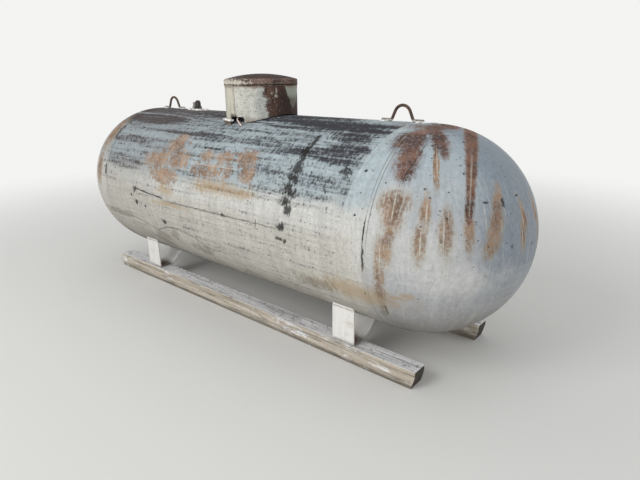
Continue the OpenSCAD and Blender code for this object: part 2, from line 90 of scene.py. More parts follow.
def photo_camera():
    ahead = Vector((-math.sin(CAMERA_YAW) * math.cos(CAMERA_PITCH),
                    math.cos(CAMERA_YAW) * math.cos(CAMERA_PITCH),
                    -math.sin(CAMERA_PITCH)))
    level = Vector((math.cos(CAMERA_YAW), math.sin(CAMERA_YAW), 0))
    above = level.cross(ahead)
    right = math.cos(CAMERA_ROLL) * level + math.sin(CAMERA_ROLL) * above
    up = math.cos(CAMERA_ROLL) * above - math.sin(CAMERA_ROLL) * level
    data = bpy.data.cameras.new("photo_camera")
    data.lens = FOCAL_PIXELS / PHOTO_WIDTH * data.sensor_width
    camera = bpy.data.objects.new("photo_camera", data)
    turn = Matrix((right, up, -ahead)).transposed().to_4x4()
    camera.matrix_world = Matrix.Translation(CAMERA_AT) @ turn
    bpy.context.collection.objects.link(camera)
    bpy.context.scene.camera = camera
    return camera


camera = photo_camera()
print(f"lens {camera.data.lens:.2f} mm")

# %% [markdown]
# ## Building shaders in code
#
# A node tree is wordy to write by hand. This helper makes each kind of node a short call that gives back
# the node's output, so that a material reads like a formula. Values may be plain numbers or the outputs
# of other nodes.

# %% Shader helper
class Graph:
    """Adds nodes to a tree. Most methods return one output, while split and use return them all."""

    def __init__(self, tree):
        self.tree = tree

    def node(self, kind, values=(), **settings):
        """The new node itself, for nodes that have no method of their own."""
        made = self.tree.nodes.new("ShaderNode" + kind)
        for key, value in settings.items():
            setattr(made, key, value)
        for socket, value in dict(values).items():
            self.feed(made.inputs[socket], value)
        return made

    def feed(self, socket, value):
        if isinstance(value, bpy.types.NodeSocket):
            self.tree.links.new(value, socket)
        elif socket.type == "VECTOR":
            socket.default_value = value[:3]
        else:
            socket.default_value = value

    def math(self, operation, *values):
        return self.node("Math", enumerate(values), operation=operation).outputs[0]

    def times(self, a, b):
        return self.math("MULTIPLY", a, b)

    def minus(self, a, b):
        return self.math("SUBTRACT", a, b)

    def grown(self, value, factor, start):
        """value * factor + start, in one node."""
        return self.math("MULTIPLY_ADD", value, factor, start)

    def size(self, value):
        """The value without its sign."""
        return self.math("ABSOLUTE", value)

    def total(self, first, *others):
        for other in others:
            first = self.math("ADD", first, other)
        return first

    def most(self, first, *others):
        for other in others:
            first = self.math("MAXIMUM", first, other)
        return first

    def vector(self, operation, *values):
        return self.node("VectorMath", enumerate(values), operation=operation).outputs[0]

    def ramp(self, value, low, high, start=0.0, end=1.0):
        """From start to end while value goes from low to high, with soft ends."""
        made = self.node("MapRange", {"Value": value, "From Min": low, "From Max": high,
                                      "To Min": start, "To Max": end}, interpolation_type="SMOOTHSTEP")
        return made.outputs[0]

    def mix(self, amount, a, b):
        return self.node("Mix", {0: amount, 6: a, 7: b}, data_type="RGBA").outputs[2]

    def scaled(self, colour, value):
        """A colour or vector made larger or smaller, where 1 leaves it as it is."""
        return self.node("VectorMath", {0: colour, "Scale": value}, operation="SCALE").outputs[0]

    def swing(self, noise, size):
        """A noise moved to swing about zero."""
        return self.times(self.minus(noise, 0.5), size)

    def noise(self, vector, scale, detail=2.0, rough=0.5, warp=0.0):
        return self.node("TexNoise", {"Vector": vector, "Scale": scale, "Detail": detail,
                                      "Roughness": rough, "Distortion": warp}).outputs[0]

    def place(self):
        return self.node("TexCoord").outputs["Object"]

    def split(self, vector):
        return self.node("SeparateXYZ", {0: vector}).outputs

    def join(self, x, y, z):
        return self.node("CombineXYZ", {0: x, 1: y, 2: z}).outputs[0]

    def use(self, group, **values):
        made = self.node("Group")
        made.node_tree = bpy.data.node_groups[group]
        for label, value in values.items():
            self.feed(made.inputs[label], value)
        return made.outputs

# %% [markdown]
# Colours are typed here as they look on a screen, since that is how one judges them against a
# photograph. Shaders work with amounts of light, so each colour is turned into those first. New groups
# and new materials need the same few lines every time, and the helpers below hold them.

# %% Colours, groups and materials
def paint(red, green, blue):
    """A colour as it looks on a screen, made into the values that shaders use."""
    light = [c / 12.92 if c <= 0.04045 else ((c + 0.055) / 1.055) ** 2.4 for c in (red, green, blue)]
    return (*light, 1.0)


def new_group(name, inputs, outputs):
    tree = bpy.data.node_groups.new(name, "ShaderNodeTree")
    for label, kind, value in inputs:
        socket = tree.interface.new_socket(label, in_out="INPUT", socket_type="NodeSocket" + kind)
        socket.default_value = value
    for label, kind in outputs:
        tree.interface.new_socket(label, in_out="OUTPUT", socket_type="NodeSocket" + kind)
    return Graph(tree), tree.nodes.new("NodeGroupInput").outputs, tree.nodes.new("NodeGroupOutput").inputs


def new_material(name):
    material = bpy.data.materials.new(name)
    material.use_nodes = True
    material.node_tree.nodes.clear()
    graph = Graph(material.node_tree)
    shader = graph.node("BsdfPrincipled")
    output = graph.node("OutputMaterial")
    graph.feed(output.inputs["Surface"], shader.outputs[0])
    return material, graph, shader.inputs


def bump(graph, height, distance):
    made = graph.node("Bump", {"Height": height, "Distance": distance, "Strength": 1.0})
    return made.outputs[0]

# %% [markdown]
# ## Effects that several finishes share
#
# Rain runs down the tank and dirt settles on its top, so stains follow two directions: along the vessel
# and up round it. The first group turns a point of the surface into those two measures. On a head the
# lines of running water meet at the top, and the group follows them there too.

# %% Place on the tank
def make_tank_place():
    graph, _, out = new_group("tank_place", [], [("Place", "Vector"), ("Flow", "Vector"), ("Near", "Float")])
    x, y, z = graph.split(graph.place())
    lift = graph.math("DIVIDE", graph.minus(z, AXIS_Z), TANK_R)
    lift = graph.math("MINIMUM", graph.most(lift, -1.0), 1.0)
    degrees = graph.math("DEGREES", graph.math("ARCSINE", lift))
    over = graph.most(graph.minus(graph.size(x), HEAD_X), 0.0)
    side = graph.math("SIGN", x)
    turn = graph.math("ARCTAN2", over, graph.size(y))
    along = graph.minus(x, graph.times(side, over))
    along = graph.total(along, graph.times(side, graph.times(turn, TANK_R)))
    graph.feed(out["Place"], graph.join(along, degrees, 0.0))
    graph.feed(out["Flow"], graph.join(along, degrees, y))
    graph.feed(out["Near"], graph.ramp(y, 0.02, -0.02))


make_tank_place()

# %% [markdown]
# A stain is an oval with a ragged edge. The oval group says how deep inside it a point lies: 1 in the
# middle, 0 on the edge and less outside. The deepest of many ovals makes one field, and one noise then
# frays the edge of all of them together, which is quicker than a noise for each.

# %% Ovals and frayed edges
def make_oval():
    graph, given, out = new_group(
        "oval",
        [("Place", "Vector", (0, 0, 0)), ("Centre", "Vector", (0, 0, 0)), ("Half", "Vector", (1, 1, 1))],
        [("Depth", "Float")])
    scaled = graph.vector("DIVIDE", graph.vector("SUBTRACT", given["Place"], given["Centre"]), given["Half"])
    length = graph.node("VectorMath", {0: scaled}, operation="LENGTH").outputs["Value"]
    graph.feed(out["Depth"], graph.minus(1.0, length))


def make_frayed():
    graph, given, out = new_group(
        "frayed",
        [("Depth", "Float", 0.0), ("Grain", "Float", 0.5), ("Fray", "Float", 0.8), ("Soft", "Float", 0.15)],
        [("Mask", "Float")])
    ragged = graph.total(given["Depth"], graph.swing(given["Grain"], given["Fray"]))
    low = graph.times(given["Soft"], -1.0)
    graph.feed(out["Mask"], graph.ramp(ragged, low, given["Soft"]))


make_oval()
make_frayed()


def oval(graph, place, across, up, half_width, half_height):
    """How deep a point lies in one oval. Place has no third measure, so the oval is flat."""
    return graph.use("oval", Place=place, Centre=(across, up, 0), Half=(half_width, half_height, 1))["Depth"]


def deepest(graph, place, ovals):
    field = -4.0
    for measures in ovals:
        field = graph.most(field, oval(graph, place, *measures))
    return field


def frayed(graph, depth, grain, fray, soft):
    """The mask of a field of ovals whose edge a noise has frayed."""
    return graph.use("frayed", Depth=depth, Grain=grain, Fray=fray, Soft=soft)["Mask"]

# %% [markdown]
# Rust is never one brown. It is dark where it is old and wet, orange where it is fresh, and rough all
# over. The group gives a colour and a height from three noises of different size.

# %% Rust
def make_rust():
    graph, given, out = new_group(
        "rust",
        [("Dark", "Color", paint(0.30, 0.20, 0.17)), ("Bright", "Color", paint(0.60, 0.42, 0.31)),
         ("Balance", "Float", 0.5)],
        [("Color", "Color"), ("Height", "Float")])
    point = graph.place()
    clouds = graph.noise(point, 9.0, 5.0, 0.65, 0.4)
    grains = graph.noise(point, 160.0, 4.0, 0.7)
    pits = graph.noise(point, 48.0, 3.0, 0.6)
    shade = graph.total(clouds, graph.swing(grains, 0.5))
    shade = graph.total(shade, graph.minus(given["Balance"], 0.5))
    colour = graph.mix(graph.ramp(shade, 0.32, 0.70), given["Dark"], given["Bright"])
    graph.feed(out["Color"], colour)
    graph.feed(out["Height"], graph.total(graph.times(grains, 0.4), pits))


make_rust()

# %% [markdown]
# Small black specks of mould sit all over old paint. A Voronoi texture drops one point in each cell, and
# only the cells with a high random number keep their speck.

# %% Specks
def make_specks():
    graph, given, out = new_group(
        "specks",
        [("Scale", "Float", 60.0), ("Share", "Float", 0.2), ("Size", "Float", 0.2)],
        [("Mask", "Float")])
    point = graph.place()
    crooked = graph.vector("ADD", point, graph.scaled(
        graph.node("TexNoise", {"Vector": point, "Scale": 90.0, "Detail": 2.0}).outputs["Color"], 0.008))
    cells = graph.node("TexVoronoi", {"Vector": crooked, "Scale": given["Scale"]})
    lottery = graph.split(cells.outputs["Color"])
    size = graph.times(given["Size"], graph.total(lottery[1], 0.3))
    dot = graph.ramp(graph.minus(cells.outputs["Distance"], size), 0.04, -0.04)
    kept = graph.math("LESS_THAN", lottery[0], given["Share"])
    graph.feed(out["Mask"], graph.times(dot, kept))


make_specks()
print("shader groups:", sorted(g.name for g in bpy.data.node_groups))

# %% [markdown]
# ## The vessel's paint
#
# Years of rain have sorted the vessel's colour by height. Its top is dark with mildew, deepened by a
# painted dark reflection, with pale mint bands between the dark ones where the paint was wiped, its front
# is cream, and its right head is a cold white that is painted sky-lit shade. Rust breaks through in
# patches. The lists below say where, with one oval for each stain or patch of painted sheen: its place in
# metres along the tank from the middle, counting on round the heads, its height in degrees up from the
# middle line, and half its length and height. A band of mildew has a strength too. A stain could come
# from a noise, but then it would be somewhere else than on the real tank.

# %% Where mildew and painted sheen are
MILDEW = [                                          # place, height, half length, half height, strength
    (-0.85, 64.0, 0.66, 10.5, 1.45), (-0.30, 63.0, 0.45, 4.5, 1.00), (0.58, 72.5, 0.46, 8.0, 1.45),
    (0.30, 60.0, 0.75, 2.0, 0.95), (0.50, 55.2, 0.60, 1.9, 0.85), (-0.25, 51.8, 0.62, 3.6, 1.15),
    (0.28, 50.4, 0.42, 4.2, 1.10), (0.62, 48.0, 0.36, 5.4, 1.10), (0.80, 45.8, 0.18, 5.5, 1.25),
    (0.80, 52.0, 0.19, 8.0, 1.20), (0.55, 66.5, 0.42, 4.5, 1.15), (0.34, 78.0, 0.40, 8.0, 1.35),
    (0.55, 59.5, 0.44, 6.5, 0.62), (-0.30, 70.0, 0.30, 4.0, 1.10), (0.77, 62.0, 0.19, 8.5, 1.40),
    (0.80, 70.0, 0.22, 8.0, 1.45), (-0.55, 56.0, 0.50, 4.0, 0.85), (-0.82, 41.0, 0.42, 5.0, 0.95),
    (-0.50, 37.5, 0.40, 3.0, 0.78), (-0.05, 42.3, 0.18, 1.4, 0.90), (-0.80, 53.5, 0.45, 6.0, 0.82),
    (0.78, 34.5, 0.28, 5.0, 0.78), (-0.84, 24.0, 0.30, 8.5, 0.88), (0.56, 23.5, 0.50, 3.6, 0.76),
    (0.28, 17.3, 0.72, 1.9, 0.74), (-0.15, 21.0, 0.62, 1.7, 0.66), (-0.62, 31.0, 0.50, 3.5, 0.62),
    (-1.28, 62.0, 0.34, 20.0, 1.00)]
# Pale ovals of painted sheen: a highlight on the shell and the head
SHEEN_OVALS = [
    (-1.16, 18, 0.13, 26.0), (0.55, 13, 0.62, 8.0), (-0.20, 12, 0.50, 5.0), (1.10, 20, 0.10, 16.0),
    (1.20, 4, 0.20, 12.0), (1.40, -8, 0.20, 9.0)]
print("ovals of mildew and bleached paint:", len(MILDEW + SHEEN_OVALS))

# %% Where rust is
SHELL_RUST = [
    (-0.47, 29.0, 0.120, 6.8), (-0.36, 42.0, 0.080, 7.5), (-0.29, 31.5, 0.090, 7.0),
    (-0.39, 18.5, 0.130, 5.6), (-0.065, 36.4, 0.040, 4.2), (-0.035, 27.2, 0.125, 4.6),
    (0.085, 36.5, 0.066, 4.2), (0.137, 29.0, 0.030, 5.5), (0.238, 37.6, 0.070, 6.0),
    (0.285, 28.0, 0.055, 5.6)]
HEAD_RUST = [
    (1.118, 27.0, 0.078, 6.5), (1.124, 21, 0.050, 8.0), (1.120, 12, 0.026, 8.0),
    (1.100, 4, 0.042, 8.0), (1.086, -8, 0.026, 11.0), (1.082, -19, 0.027, 9.0),
    (1.257, 24, 0.024, 9.0), (1.241, 9, 0.027, 9.0), (1.338, 15, 0.030, 11.5),
    (1.428, 15, 0.022, 10.0), (1.715, 18, 0.020, 9.0), (1.695, 9, 0.018, 8.0),
    (1.296, 49, 0.019, 15.0)]
FAINT_RUST = [
    (1.16, -20.5, 0.045, 1.6), (1.20, -18.0, 0.030, 1.8), (0.98, -25, 0.10, 4.0)]
LEANING_RUST = [
    (1.493, 27, 0.028, 9.0), (1.494, 17, 0.035, 10.0), (1.498, 9, 0.038, 7.0)]
OLD_RUST = [
    (1.100, 65, 0.118, 13.0), (1.125, 52, 0.080, 12.0), (1.135, 44, 0.055, 7.0),
    (1.030, 64, 0.055, 9.0), (1.330, 69, 0.088, 13.5), (1.350, 58, 0.035, 7.0),
    (1.22, 76, 0.140, 8.0), (1.30, 82, 0.34, 9.0), (1.80, 81, 0.40, 6.0)]
FAR_RUST = [
    (0.55, 33, 0.12, 7.0), (0.44, 24, 0.08, 5.0), (-0.62, 38, 0.09, 8.0), (-0.70, 25, 0.06, 7.0),
    (-0.20, 20, 0.10, 4.0)]
LEFT_RUST = [
    (-1.14, 46, 0.09, 17.0), (-1.14, 14, 0.055, 13.0), (-1.45, 40, 0.05, 16.0),
    (-1.33, 24, 0.03, 11.0)]
TAN_STAINS = [
    (0.08, 17.7, 0.16, 4.2), (0.29, 16.4, 0.11, 3.0), (-0.38, 8.5, 0.07, 2.8),
    (-0.34, -1.3, 0.13, 1.3), (0.95, -24, 0.20, 6.0)]
print("ovals of rust:", len(SHELL_RUST + HEAD_RUST + FAINT_RUST + LEANING_RUST + OLD_RUST
                            + FAR_RUST + LEFT_RUST + TAN_STAINS))

# %% Where dark and pale marks are
TAR_DRIP = [
    (0.590, 56, 0.016, 5.0), (0.582, 49, 0.022, 6.0), (0.584, 43.0, 0.018, 4.5),
    (0.580, 36.5, 0.036, 4.2), (0.568, 31.0, 0.024, 4.0), (0.597, 30.5, 0.018, 2.8),
    (0.566, 25.5, 0.026, 3.4), (0.592, 22.5, 0.026, 2.6), (0.566, 18.0, 0.028, 2.8),
    (0.588, 13.5, 0.022, 3.0), (0.553, 3.6, 0.021, 2.0), (0.845, 38.5, 0.026, 2.6),
    (0.545, -3.6, 0.024, 1.1), (0.575, -4.2, 0.010, 1.4), (-0.68, 4.2, 0.020, 1.7),
    (-0.68, -5.2, 0.017, 1.7), (-0.42, -15.5, 0.021, 1.8), (0.155, 1.6, 0.018, 1.1),
    (1.60, 27.5, 0.010, 2.6), (1.095, -31, 0.006, 3.5), (1.009, -2, 0.006, 6.0),
    (1.006, 9, 0.004, 9.0), (-1.035, 46, 0.012, 7.0), (-1.03, 14, 0.010, 5.0),
    (1.512, 28, 0.013, 0.5), (1.705, 29, 0.011, 0.5), (1.780, 4, 0.011, 0.8)]
LOW_MARKS = [
    (-0.13, -32, 0.06, 5.5), (-0.50, -30, 0.07, 3.5), (-0.56, -38, 0.06, 4.5),
    (-0.40, -26, 0.03, 4.0), (0.72, -27, 0.10, 4.0), (1.06, -34, 0.022, 5.0),
    (-0.95, -20, 0.15, 2.0)]
PALE_LINES = [
    (1.260, 23, 0.0050, 9.0), (1.244, 9, 0.0050, 9.0), (1.330, 15, 0.0050, 11.0),
    (1.122, 26, 0.0055, 11.0), (1.088, 0, 0.0040, 12.0), (1.706, 19, 0.0040, 9.0),
    (1.690, 9, 0.0036, 8.0), (1.300, 50, 0.0045, 12.0), (1.500, 22, 0.0040, 9.0),
    (0.70, 60, 0.0026, 14.0), (1.02, 44, 0.0030, 16.0), (1.012, 66, 0.0036, 14.0)]
SPECK_CROWDS = [
    (-0.55, -2, 0.45, 22.0), (0.75, -12, 0.45, 28.0), (0.86, 32, 0.22, 18.0),
    (1.22, 45, 0.30, 30.0), (0.30, -18, 0.50, 10.0), (-0.95, 30, 0.20, 40.0)]
print("ovals of other marks:", len(TAR_DRIP + LOW_MARKS + PALE_LINES + SPECK_CROWDS))

# %% [markdown]
# The vessel's material stacks its layers from the bottom up: base paint with its painted shade and sheen,
# mildew, tan stains, rust, pale scratches, dirt and tar, and the grime and painted shade underneath. A
# painted picture could hold all of that, but small rules stay sharp close up and reach the hidden sides
# too. Rain leaves a fine hatch down the wall in every layer, so the same few noises fray all their edges.
# They are made once, here.

# %% Grain of the vessel's paint
def vessel_grain(graph, flow, point):
    """Noises stretched down the wall, along it, and not at all, and two blends of them."""
    grain = SimpleNamespace()
    grain.hatch = graph.noise(graph.vector("MULTIPLY", flow, (64.0, 0.26, 9.0)), 1.0, 5.0, 0.75)
    grain.fibre = graph.noise(graph.vector("MULTIPLY", flow, (120.0, 0.075, 9.0)), 1.0, 3.0, 0.65)
    grain.runs = graph.noise(graph.vector("MULTIPLY", flow, (30.0, 0.03, 3.0)), 1.0, 3.0, 0.6)
    grain.strokes = graph.noise(graph.vector("MULTIPLY", flow, (2.4, 0.38, 4.0)), 1.0, 5.0, 0.72)
    grain.clouds = graph.noise(point, 5.0, 5.0, 0.6)
    grain.grit = graph.noise(point, 75.0, 5.0, 0.72)
    grain.ragged = graph.noise(point, 30.0, 6.0, 0.72)
    grain.streaky = graph.total(graph.times(grain.ragged, 0.5), graph.times(grain.hatch, 0.5))
    grain.combed = graph.total(graph.times(grain.ragged, 0.3), graph.times(grain.fibre, 0.3),
                               graph.times(grain.grit, 0.4))
    return grain


def bent_place(graph, place, point):
    """The place on the tank, bent a little, so that the edges of large stains don't run straight."""
    wander = graph.node("TexNoise", {"Vector": point, "Scale": 5.5, "Detail": 3.0}).outputs["Color"]
    wander = graph.vector("MULTIPLY", graph.vector("SUBTRACT", wander, (0.5, 0.5, 0.5)), (0.24, 5.0, 0.0))
    return graph.vector("ADD", place, wander)

# %% [markdown]
# The paint was one colour once. Sun and rain faded the front to cream and the top kept its mint. The
# right head is a cold white that is painted sky-lit shade, turning to a painted shade of blue-grey at its
# far side, and pale ovals of painted sheen lie on the shell and the head. So the base colour is chosen by
# height and by place along the tank, with a noise added to both so that no border runs straight.

# %% Base coat
CREAM = paint(0.765, 0.755, 0.722)
MINT = paint(0.676, 0.726, 0.744)
# The right head's cold white and green are painted sky-lit shade, and blue-grey is painted deeper shade
SHADED_HEAD_WHITE = paint(0.682, 0.690, 0.704)
SHADED_HEAD_GREEN = paint(0.648, 0.698, 0.725)
SHEEN_WHITE = paint(0.815, 0.812, 0.795)
FAR_SHADE_BLUE_GREY = paint(0.472, 0.517, 0.560)
SHADE_MIDDLE = 0.955                                # the hatch's mean shade, about which its contrast grows


def base_coat(graph, along, up, bent, grain):
    tone = graph.total(up, graph.swing(grain.clouds, 34.0), graph.swing(grain.strokes, 20.0))
    base = graph.mix(graph.ramp(tone, 4.0, 30.0), CREAM, MINT)
    # The right head takes the cold colours of painted shade
    cold = graph.mix(graph.ramp(tone, 5.0, 60.0), SHADED_HEAD_WHITE, SHADED_HEAD_GREEN)
    base = graph.mix(graph.ramp(along, 0.92, 1.10, 0.0, 0.92), base, cold)
    # Painted sheen lightens the paint in pale ovals, less on the head
    sheen = frayed(graph, deepest(graph, bent, SHEEN_OVALS), grain.strokes, 2.0, 0.5)
    sheen = graph.times(sheen, graph.ramp(along, 0.98, 1.12, 0.75, 0.48))
    base = graph.mix(sheen, base, SHEEN_WHITE)
    # Painted shade turns blue-grey towards the head's far side
    blue = graph.ramp(graph.total(along, graph.swing(grain.clouds, 0.5)), 1.36, 1.62, 0.0, 0.80)
    base = graph.mix(graph.times(blue, graph.ramp(tone, -30.0, 0.0, 0.2, 1.0)), base, FAR_SHADE_BLUE_GREY)
    shade = graph.times(graph.ramp(grain.hatch, 0.32, 0.68, 0.88, 1.07),
                        graph.ramp(grain.grit, 0.3, 0.7, 0.90, 1.07))
    shade = graph.times(shade, graph.ramp(grain.runs, 0.3, 0.7, 0.94, 1.05))
    contrast = graph.ramp(along, 0.88, 1.02, 1.6, 1.0)
    shade = graph.grown(graph.minus(shade, SHADE_MIDDLE), contrast, SHADE_MIDDLE)
    return graph.scaled(base, shade)

# %% [markdown]
# Mildew grows on the top, where dew stays longest, and in long bands where it was never wiped off. It is
# browner to the left and stops at the right weld. Its dark colour and its strength on the top are partly
# painted dark reflection. Each band is a long flat oval. What tears the bands into strokes is the amount,
# which is the field of ovals with three noises added before it is cut off.

# %% Mildew
# Mildew's darkest colour, darker still as a painted dark reflection
MILDEW_AND_REFLECTION_DARK = paint(0.150, 0.122, 0.148)
MILDEW_BROWN = paint(0.265, 0.212, 0.206)


def mildew_mask(graph, bent, along, up, grain):
    field = graph.ramp(graph.total(up, graph.swing(grain.clouds, 30.0)), 6.0, 30.0, 0.05, 0.56)
    # Mildew on the top, made stronger as a painted dark reflection
    top = graph.ramp(graph.total(up, graph.swing(grain.strokes, 40.0)), 60.0, 76.0, 0.0, 1.30)
    field = graph.most(field, top)
    for place_along, place_up, half_length, half_height, strength in MILDEW:
        depth = oval(graph, bent, place_along, place_up, half_length, half_height)
        field = graph.most(field, graph.ramp(depth, 0.0, 0.60, 0.25, strength * 0.92))
    edge = graph.grown(up, -0.00094, along)
    kept = graph.most(graph.ramp(edge, 0.874, 0.864), graph.ramp(edge, 0.90, 0.96, 0.0, 0.30))
    field = graph.times(field, kept)

    # Mildew is thinner in a strip along the ridge by the right lug
    high = graph.ramp(graph.total(up, graph.swing(grain.strokes, 16.0)), 76.0, 83.0)
    bare = graph.times(graph.ramp(graph.total(along, graph.swing(grain.clouds, 0.3)), 0.58, 0.76), high)
    field = graph.times(field, graph.ramp(bare, 0.0, 1.0, 1.0, 0.30))
    amount = graph.total(field, graph.swing(grain.hatch, 3.0), graph.swing(grain.strokes, 2.7),
                         graph.swing(grain.grit, 2.1), graph.ramp(along, 0.92, 1.04, 0.0, -0.28))
    haze = graph.times(field, graph.ramp(along, 0.0, -0.6, 0.08, 0.60))
    return graph.most(graph.ramp(amount, 0.14, 1.32), haze)

# %% [markdown]
# Rust has three ages here. On the shell it is thin and tan, on the head it runs down in narrow strips
# with a pale halo, and over the head's top it is old and dark. One long run comes over the head in an
# upright plane, so its distance is measured from that plane instead of from an oval. Each age has its
# own mask, and the vessel's fibres comb through all of them.

# %% Where rust covers the vessel
RUN_PLANE = (0.894, 0.447, 0)                       # looks across the run, from the head's middle
RUN_OFF = 0.157


def head_run(graph, point, up):
    """How deep a point lies in the long run that comes over the right head."""
    across = graph.vector("SUBTRACT", point, (HEAD_X, 0, 0))
    plan = graph.node("VectorMath", {0: across, 1: RUN_PLANE}, operation="DOT_PRODUCT").outputs["Value"]
    off = graph.size(graph.minus(plan, RUN_OFF))
    width = graph.ramp(up, 20.0, 76.0, 0.014, 0.027)
    depth = graph.minus(1.0, graph.math("DIVIDE", off, width))
    return graph.minus(depth, graph.ramp(up, 24.0, 8.0, 0.0, 3.0))


def rust_masks(graph, place, point, up, near, grain):
    masks = SimpleNamespace()
    near_field = graph.minus(deepest(graph, place, SHELL_RUST), graph.ramp(near, 0.0, 1.0, 3.0, 0.0))
    far_field = graph.minus(deepest(graph, place, FAR_RUST), graph.times(near, 3.0))
    masks.shell = frayed(graph, graph.most(near_field, far_field), grain.streaky, 5.8, 0.32)
    sheared = graph.vector("ADD", place, graph.join(graph.times(up, -0.0029), 0.0, 0.0))
    head = graph.most(deepest(graph, place, HEAD_RUST + LEFT_RUST), deepest(graph, sheared, LEANING_RUST))
    run = head_run(graph, point, up)
    masks.halo = frayed(graph, graph.most(head, run), grain.combed, 2.6, 0.55)
    masks.head = frayed(graph, graph.minus(head, 0.22), grain.combed, 3.2, 0.45)
    old = graph.most(deepest(graph, place, OLD_RUST), graph.total(run, 0.10))
    masks.old = frayed(graph, old, grain.combed, 2.6, 0.40)
    masks.run_middle = graph.ramp(run, 0.74, 0.90)
    return masks

# %% Rust laid over the paint
HALO = paint(0.610, 0.565, 0.475)
WARM_RUST = {"Dark": paint(0.445, 0.350, 0.278), "Bright": paint(0.690, 0.572, 0.466), "Balance": 0.52}
FRESH_RUST = {"Dark": paint(0.395, 0.290, 0.235), "Bright": paint(0.640, 0.500, 0.385), "Balance": 0.46}
OLD_DARK_RUST = {"Dark": paint(0.285, 0.190, 0.160), "Bright": paint(0.540, 0.400, 0.335), "Balance": 0.46}


def rusted(graph, colour, masks, up, grain):
    """The colour with its rust on, and the height of the rust's own surface."""
    combing = graph.times(graph.ramp(grain.fibre, 0.36, 0.56, 0.78, 1.0),
                          graph.ramp(grain.grit, 0.38, 0.54, 0.50, 1.0))
    colour = graph.mix(graph.times(masks.halo, graph.times(combing, 0.80)), colour, HALO)
    warm = graph.use("rust", **WARM_RUST)
    fresh = graph.use("rust", **FRESH_RUST)
    old = graph.use("rust", **OLD_DARK_RUST)
    cover = graph.ramp(combing, 0.46, 0.84, 0.30, 0.92)
    colour = graph.mix(graph.times(masks.shell, cover), colour, warm["Color"])
    cover = graph.times(combing, graph.ramp(up, 30.0, 0.0, 0.92, 0.70))
    colour = graph.mix(graph.times(masks.head, cover), colour, fresh["Color"])
    cover = graph.ramp(combing, 0.4, 0.8, 0.66, 0.96)
    colour = graph.mix(graph.times(masks.old, cover), colour, old["Color"])
    return colour, fresh["Height"]

# %% [markdown]
# Fine marks finish the surface: scratches and washed streaks that show pale paint, the crack along the
# seam, and a few thin dark lines. Each line is a curve over the place along the tank, and a point is in
# it when its height is close enough to the curve. That keeps a line a few millimetres wide at any zoom.

# %% Thin marks
PALE_PAINT = paint(0.80, 0.79, 0.75)


def line_mark(graph, along, up, middle, half_length, height, slope, bend, width):
    """A thin mark that follows a curve up = height + slope * d + bend * d * d, d from its middle."""
    away = graph.minus(along, middle)
    curve = graph.grown(graph.grown(away, bend, slope), away, height)
    off = graph.size(graph.minus(up, curve))
    inside = graph.ramp(graph.size(away), half_length, half_length * 0.85)
    return graph.times(graph.ramp(off, width, width * 0.3), inside)


def pale_marks(graph, place, along, up, near, run_middle, grain):
    pale = graph.ramp(deepest(graph, place, PALE_LINES), 0.0, 0.7, 0.0, 0.62)
    pale = graph.most(pale, graph.times(run_middle, graph.ramp(up, 58.0, 44.0, 0.0, 0.34)))
    drawn = graph.most(line_mark(graph, along, up, 0.02, 0.21, 30.2, 1.4, 0.0, 0.5),
                       line_mark(graph, along, up, -0.17, 0.15, 18.3, -3.0, 0.0, 0.5))
    pale = graph.most(pale, graph.times(drawn, graph.times(near, 0.5)))
    pale = graph.times(pale, graph.ramp(grain.ragged, 0.35, 0.55, 0.3, 1.0))
    scraped = graph.times(graph.ramp(grain.fibre, 0.60, 0.68), graph.ramp(along, 0.7, 1.05, 0.10, 0.40))
    pale = graph.most(pale, graph.times(scraped, graph.ramp(up, 55.0, 30.0)))
    washed = graph.times(graph.ramp(grain.runs, 0.56, 0.66, 0.0, 0.42), graph.ramp(along, 0.80, 1.00))
    return graph.most(pale, graph.times(washed, graph.ramp(up, -24.0, -34.0)))


def dark_lines(graph, along, level, near, grain):
    """The crack along the seam and the other thin dark lines of the near side."""
    up = graph.total(level, graph.swing(grain.ragged, 2.6))
    crack = line_mark(graph, along, up, -0.54, 0.16, 3.6, -9.0, 10.0, 0.85)
    thin = graph.times(line_mark(graph, along, up, 0.08, 0.48, 1.5, 0.8, 0.0, 0.55), 0.62)
    tick = graph.times(graph.ramp(graph.size(graph.minus(along, 0.388)), 0.0035, 0.001),
                       graph.ramp(graph.size(graph.minus(up, 1.2)), 3.6, 2.2))
    first = graph.times(line_mark(graph, along, up, -0.33, 0.24, -18.8, 4.0, -150.0, 0.75), 0.60)
    second = graph.times(line_mark(graph, along, up, -0.72, 0.23, -20.5, -22.0, -40.0, 0.75), 0.55)
    accent = line_mark(graph, along, up, -0.04, 0.09, 42.2, 4.0, 0.0, 0.45)
    across = graph.times(line_mark(graph, along, up, 1.20, 0.068, 57.0, 262.0, 0.0, 2.2), 0.55)
    marks = graph.most(crack, thin, first, second, across, tick, accent)
    return graph.times(graph.times(marks, near), graph.ramp(grain.grit, 0.34, 0.50, 0.2, 1.0))

# %% [markdown]
# Black comes last: the drip of tar down the shell, single blots, crowds of small specks of mould, and a
# dark band in the corner beside each round weld. The drip is a chain of small ovals, placed one by one,
# because a noise can't be told to make just this drip.

# %% Tar, specks and dark edges
def speck_mask(graph, bent, along, point):
    fine = graph.use("specks", Scale=40.0, Share=0.40, Size=0.17)["Mask"]
    coarse = graph.use("specks", Scale=15.0, Share=0.42, Size=0.11)["Mask"]
    crowd = graph.ramp(deepest(graph, bent, SPECK_CROWDS), -0.1, 0.7, 0.0, 0.28)
    crowd = graph.total(crowd, graph.noise(point, 6.3, 3.0, 0.6))
    few = graph.ramp(along, 1.02, 1.15, 1.0, 0.80)
    crowd = graph.times(graph.ramp(crowd, 0.42, 0.62, 0.12, 1.0), few)
    return graph.times(graph.most(fine, coarse), crowd)


